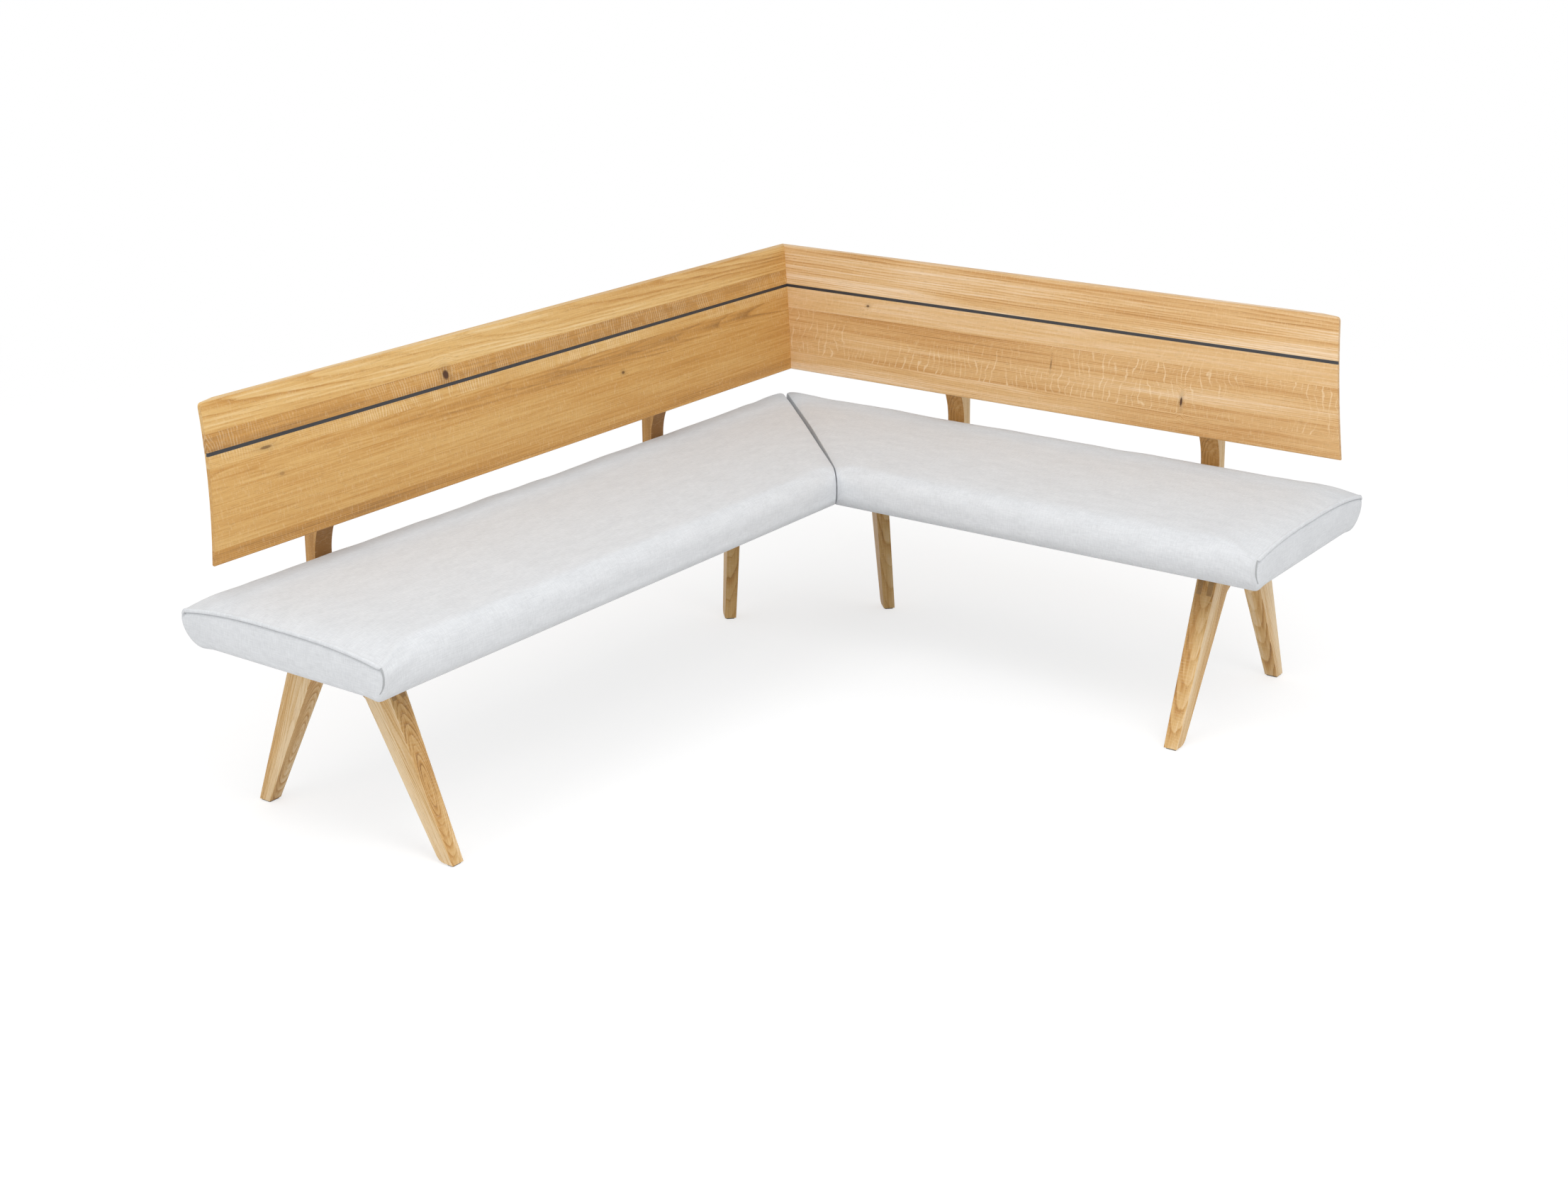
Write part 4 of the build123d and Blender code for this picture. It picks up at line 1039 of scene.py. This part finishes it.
paint, tree, shader = bare("white_sweep", 0.95)
shader.inputs["Specular IOR Level"].default_value = 0.0
shader.inputs["Emission Color"].default_value = (1, 1, 1, 1)
sight = seen_directly(tree)
far = vectors(tree, "LENGTH", add_node(tree, "TexCoord").outputs["Object"])
far = maths(tree, "MULTIPLY", between(tree, far, *FLOOR_FADE), sight)
floor_colour = tinted(tree, sight, (0.80, 0.80, 0.80, 1.0), (0.45, 0.45, 0.45, 1.0))
floor_colour = tinted(tree, far, floor_colour, (0.0, 0.0, 0.0, 1.0))
tree.links.new(floor_colour, shader.inputs["Base Color"])
glow = maths(tree, "MULTIPLY_ADD", far, 0.34, 0.66)
tree.links.new(maths(tree, "MULTIPLY", sight, glow), shader.inputs["Emission Strength"])
floor.data.materials.append(paint)

world = bpy.data.worlds.new("studio")
bpy.context.scene.world = world
world.use_nodes = True
tree = world.node_tree
surround = tree.nodes["Background"]
surround.inputs["Color"].default_value = (1, 1, 1, 1)
strength = between(tree, seen_directly(tree), 0.0, 1.0, SURROUND, 1.0, soft=False)
tree.links.new(strength, surround.inputs["Strength"])


def soft_box(name, place, target, size, watts):
    """A square area lamp that faces a point."""
    lamp = bpy.data.lights.new(name, "AREA")
    lamp.size = size
    lamp.energy = watts
    holder = bpy.data.objects.new(name, lamp)
    bpy.context.collection.objects.link(holder)
    holder.location = place
    holder.rotation_euler = (Vector(target) - Vector(place)).to_track_quat("-Z", "Y").to_euler()


soft_box("front_soft_box", (0.0, -2.6, 4.4), (-0.2, 0.2, 0.5), 2.6, 44)
soft_box("right_soft_box", (3.0, -1.6, 4.2), (-0.2, 0.2, 0.5), 2.6, 74)
soft_box("low_front_fill", (-0.8, -3.5, 1.2), (-0.5, -0.6, 0.4), 1.6, 12)
soft_box("low_right_fill", (4.2, -1.0, 1.6), (0.0, 0.2, 0.4), 2.0, 20)

# Lens, place and turn come from the bench's straight edges in the photograph. The turn is in degrees: up from
# looking straight down, the roll, and round from a view along the long wing towards the corner.
CAMERA_PLACE = (2.617, -3.6832, 1.9704)
CAMERA_TILT = 75.806
CAMERA_ROLL = 0.477
CAMERA_HEADING = 35.936
lens = bpy.data.cameras.new("photo_camera")
lens.sensor_width = 36.0
lens.sensor_fit = "HORIZONTAL"
lens.lens = 52.643
lens.shift_y = -0.1356
lens.clip_end = 400.0
camera = bpy.data.objects.new("photo_camera", lens)
bpy.context.collection.objects.link(camera)
turn = Euler([math.radians(angle) for angle in (CAMERA_TILT, CAMERA_ROLL, CAMERA_HEADING)])
camera.matrix_world = Matrix.LocRotScale(Vector(CAMERA_PLACE), turn, None)
bpy.context.scene.camera = camera
bpy.context.scene.view_settings.view_transform = "Standard"
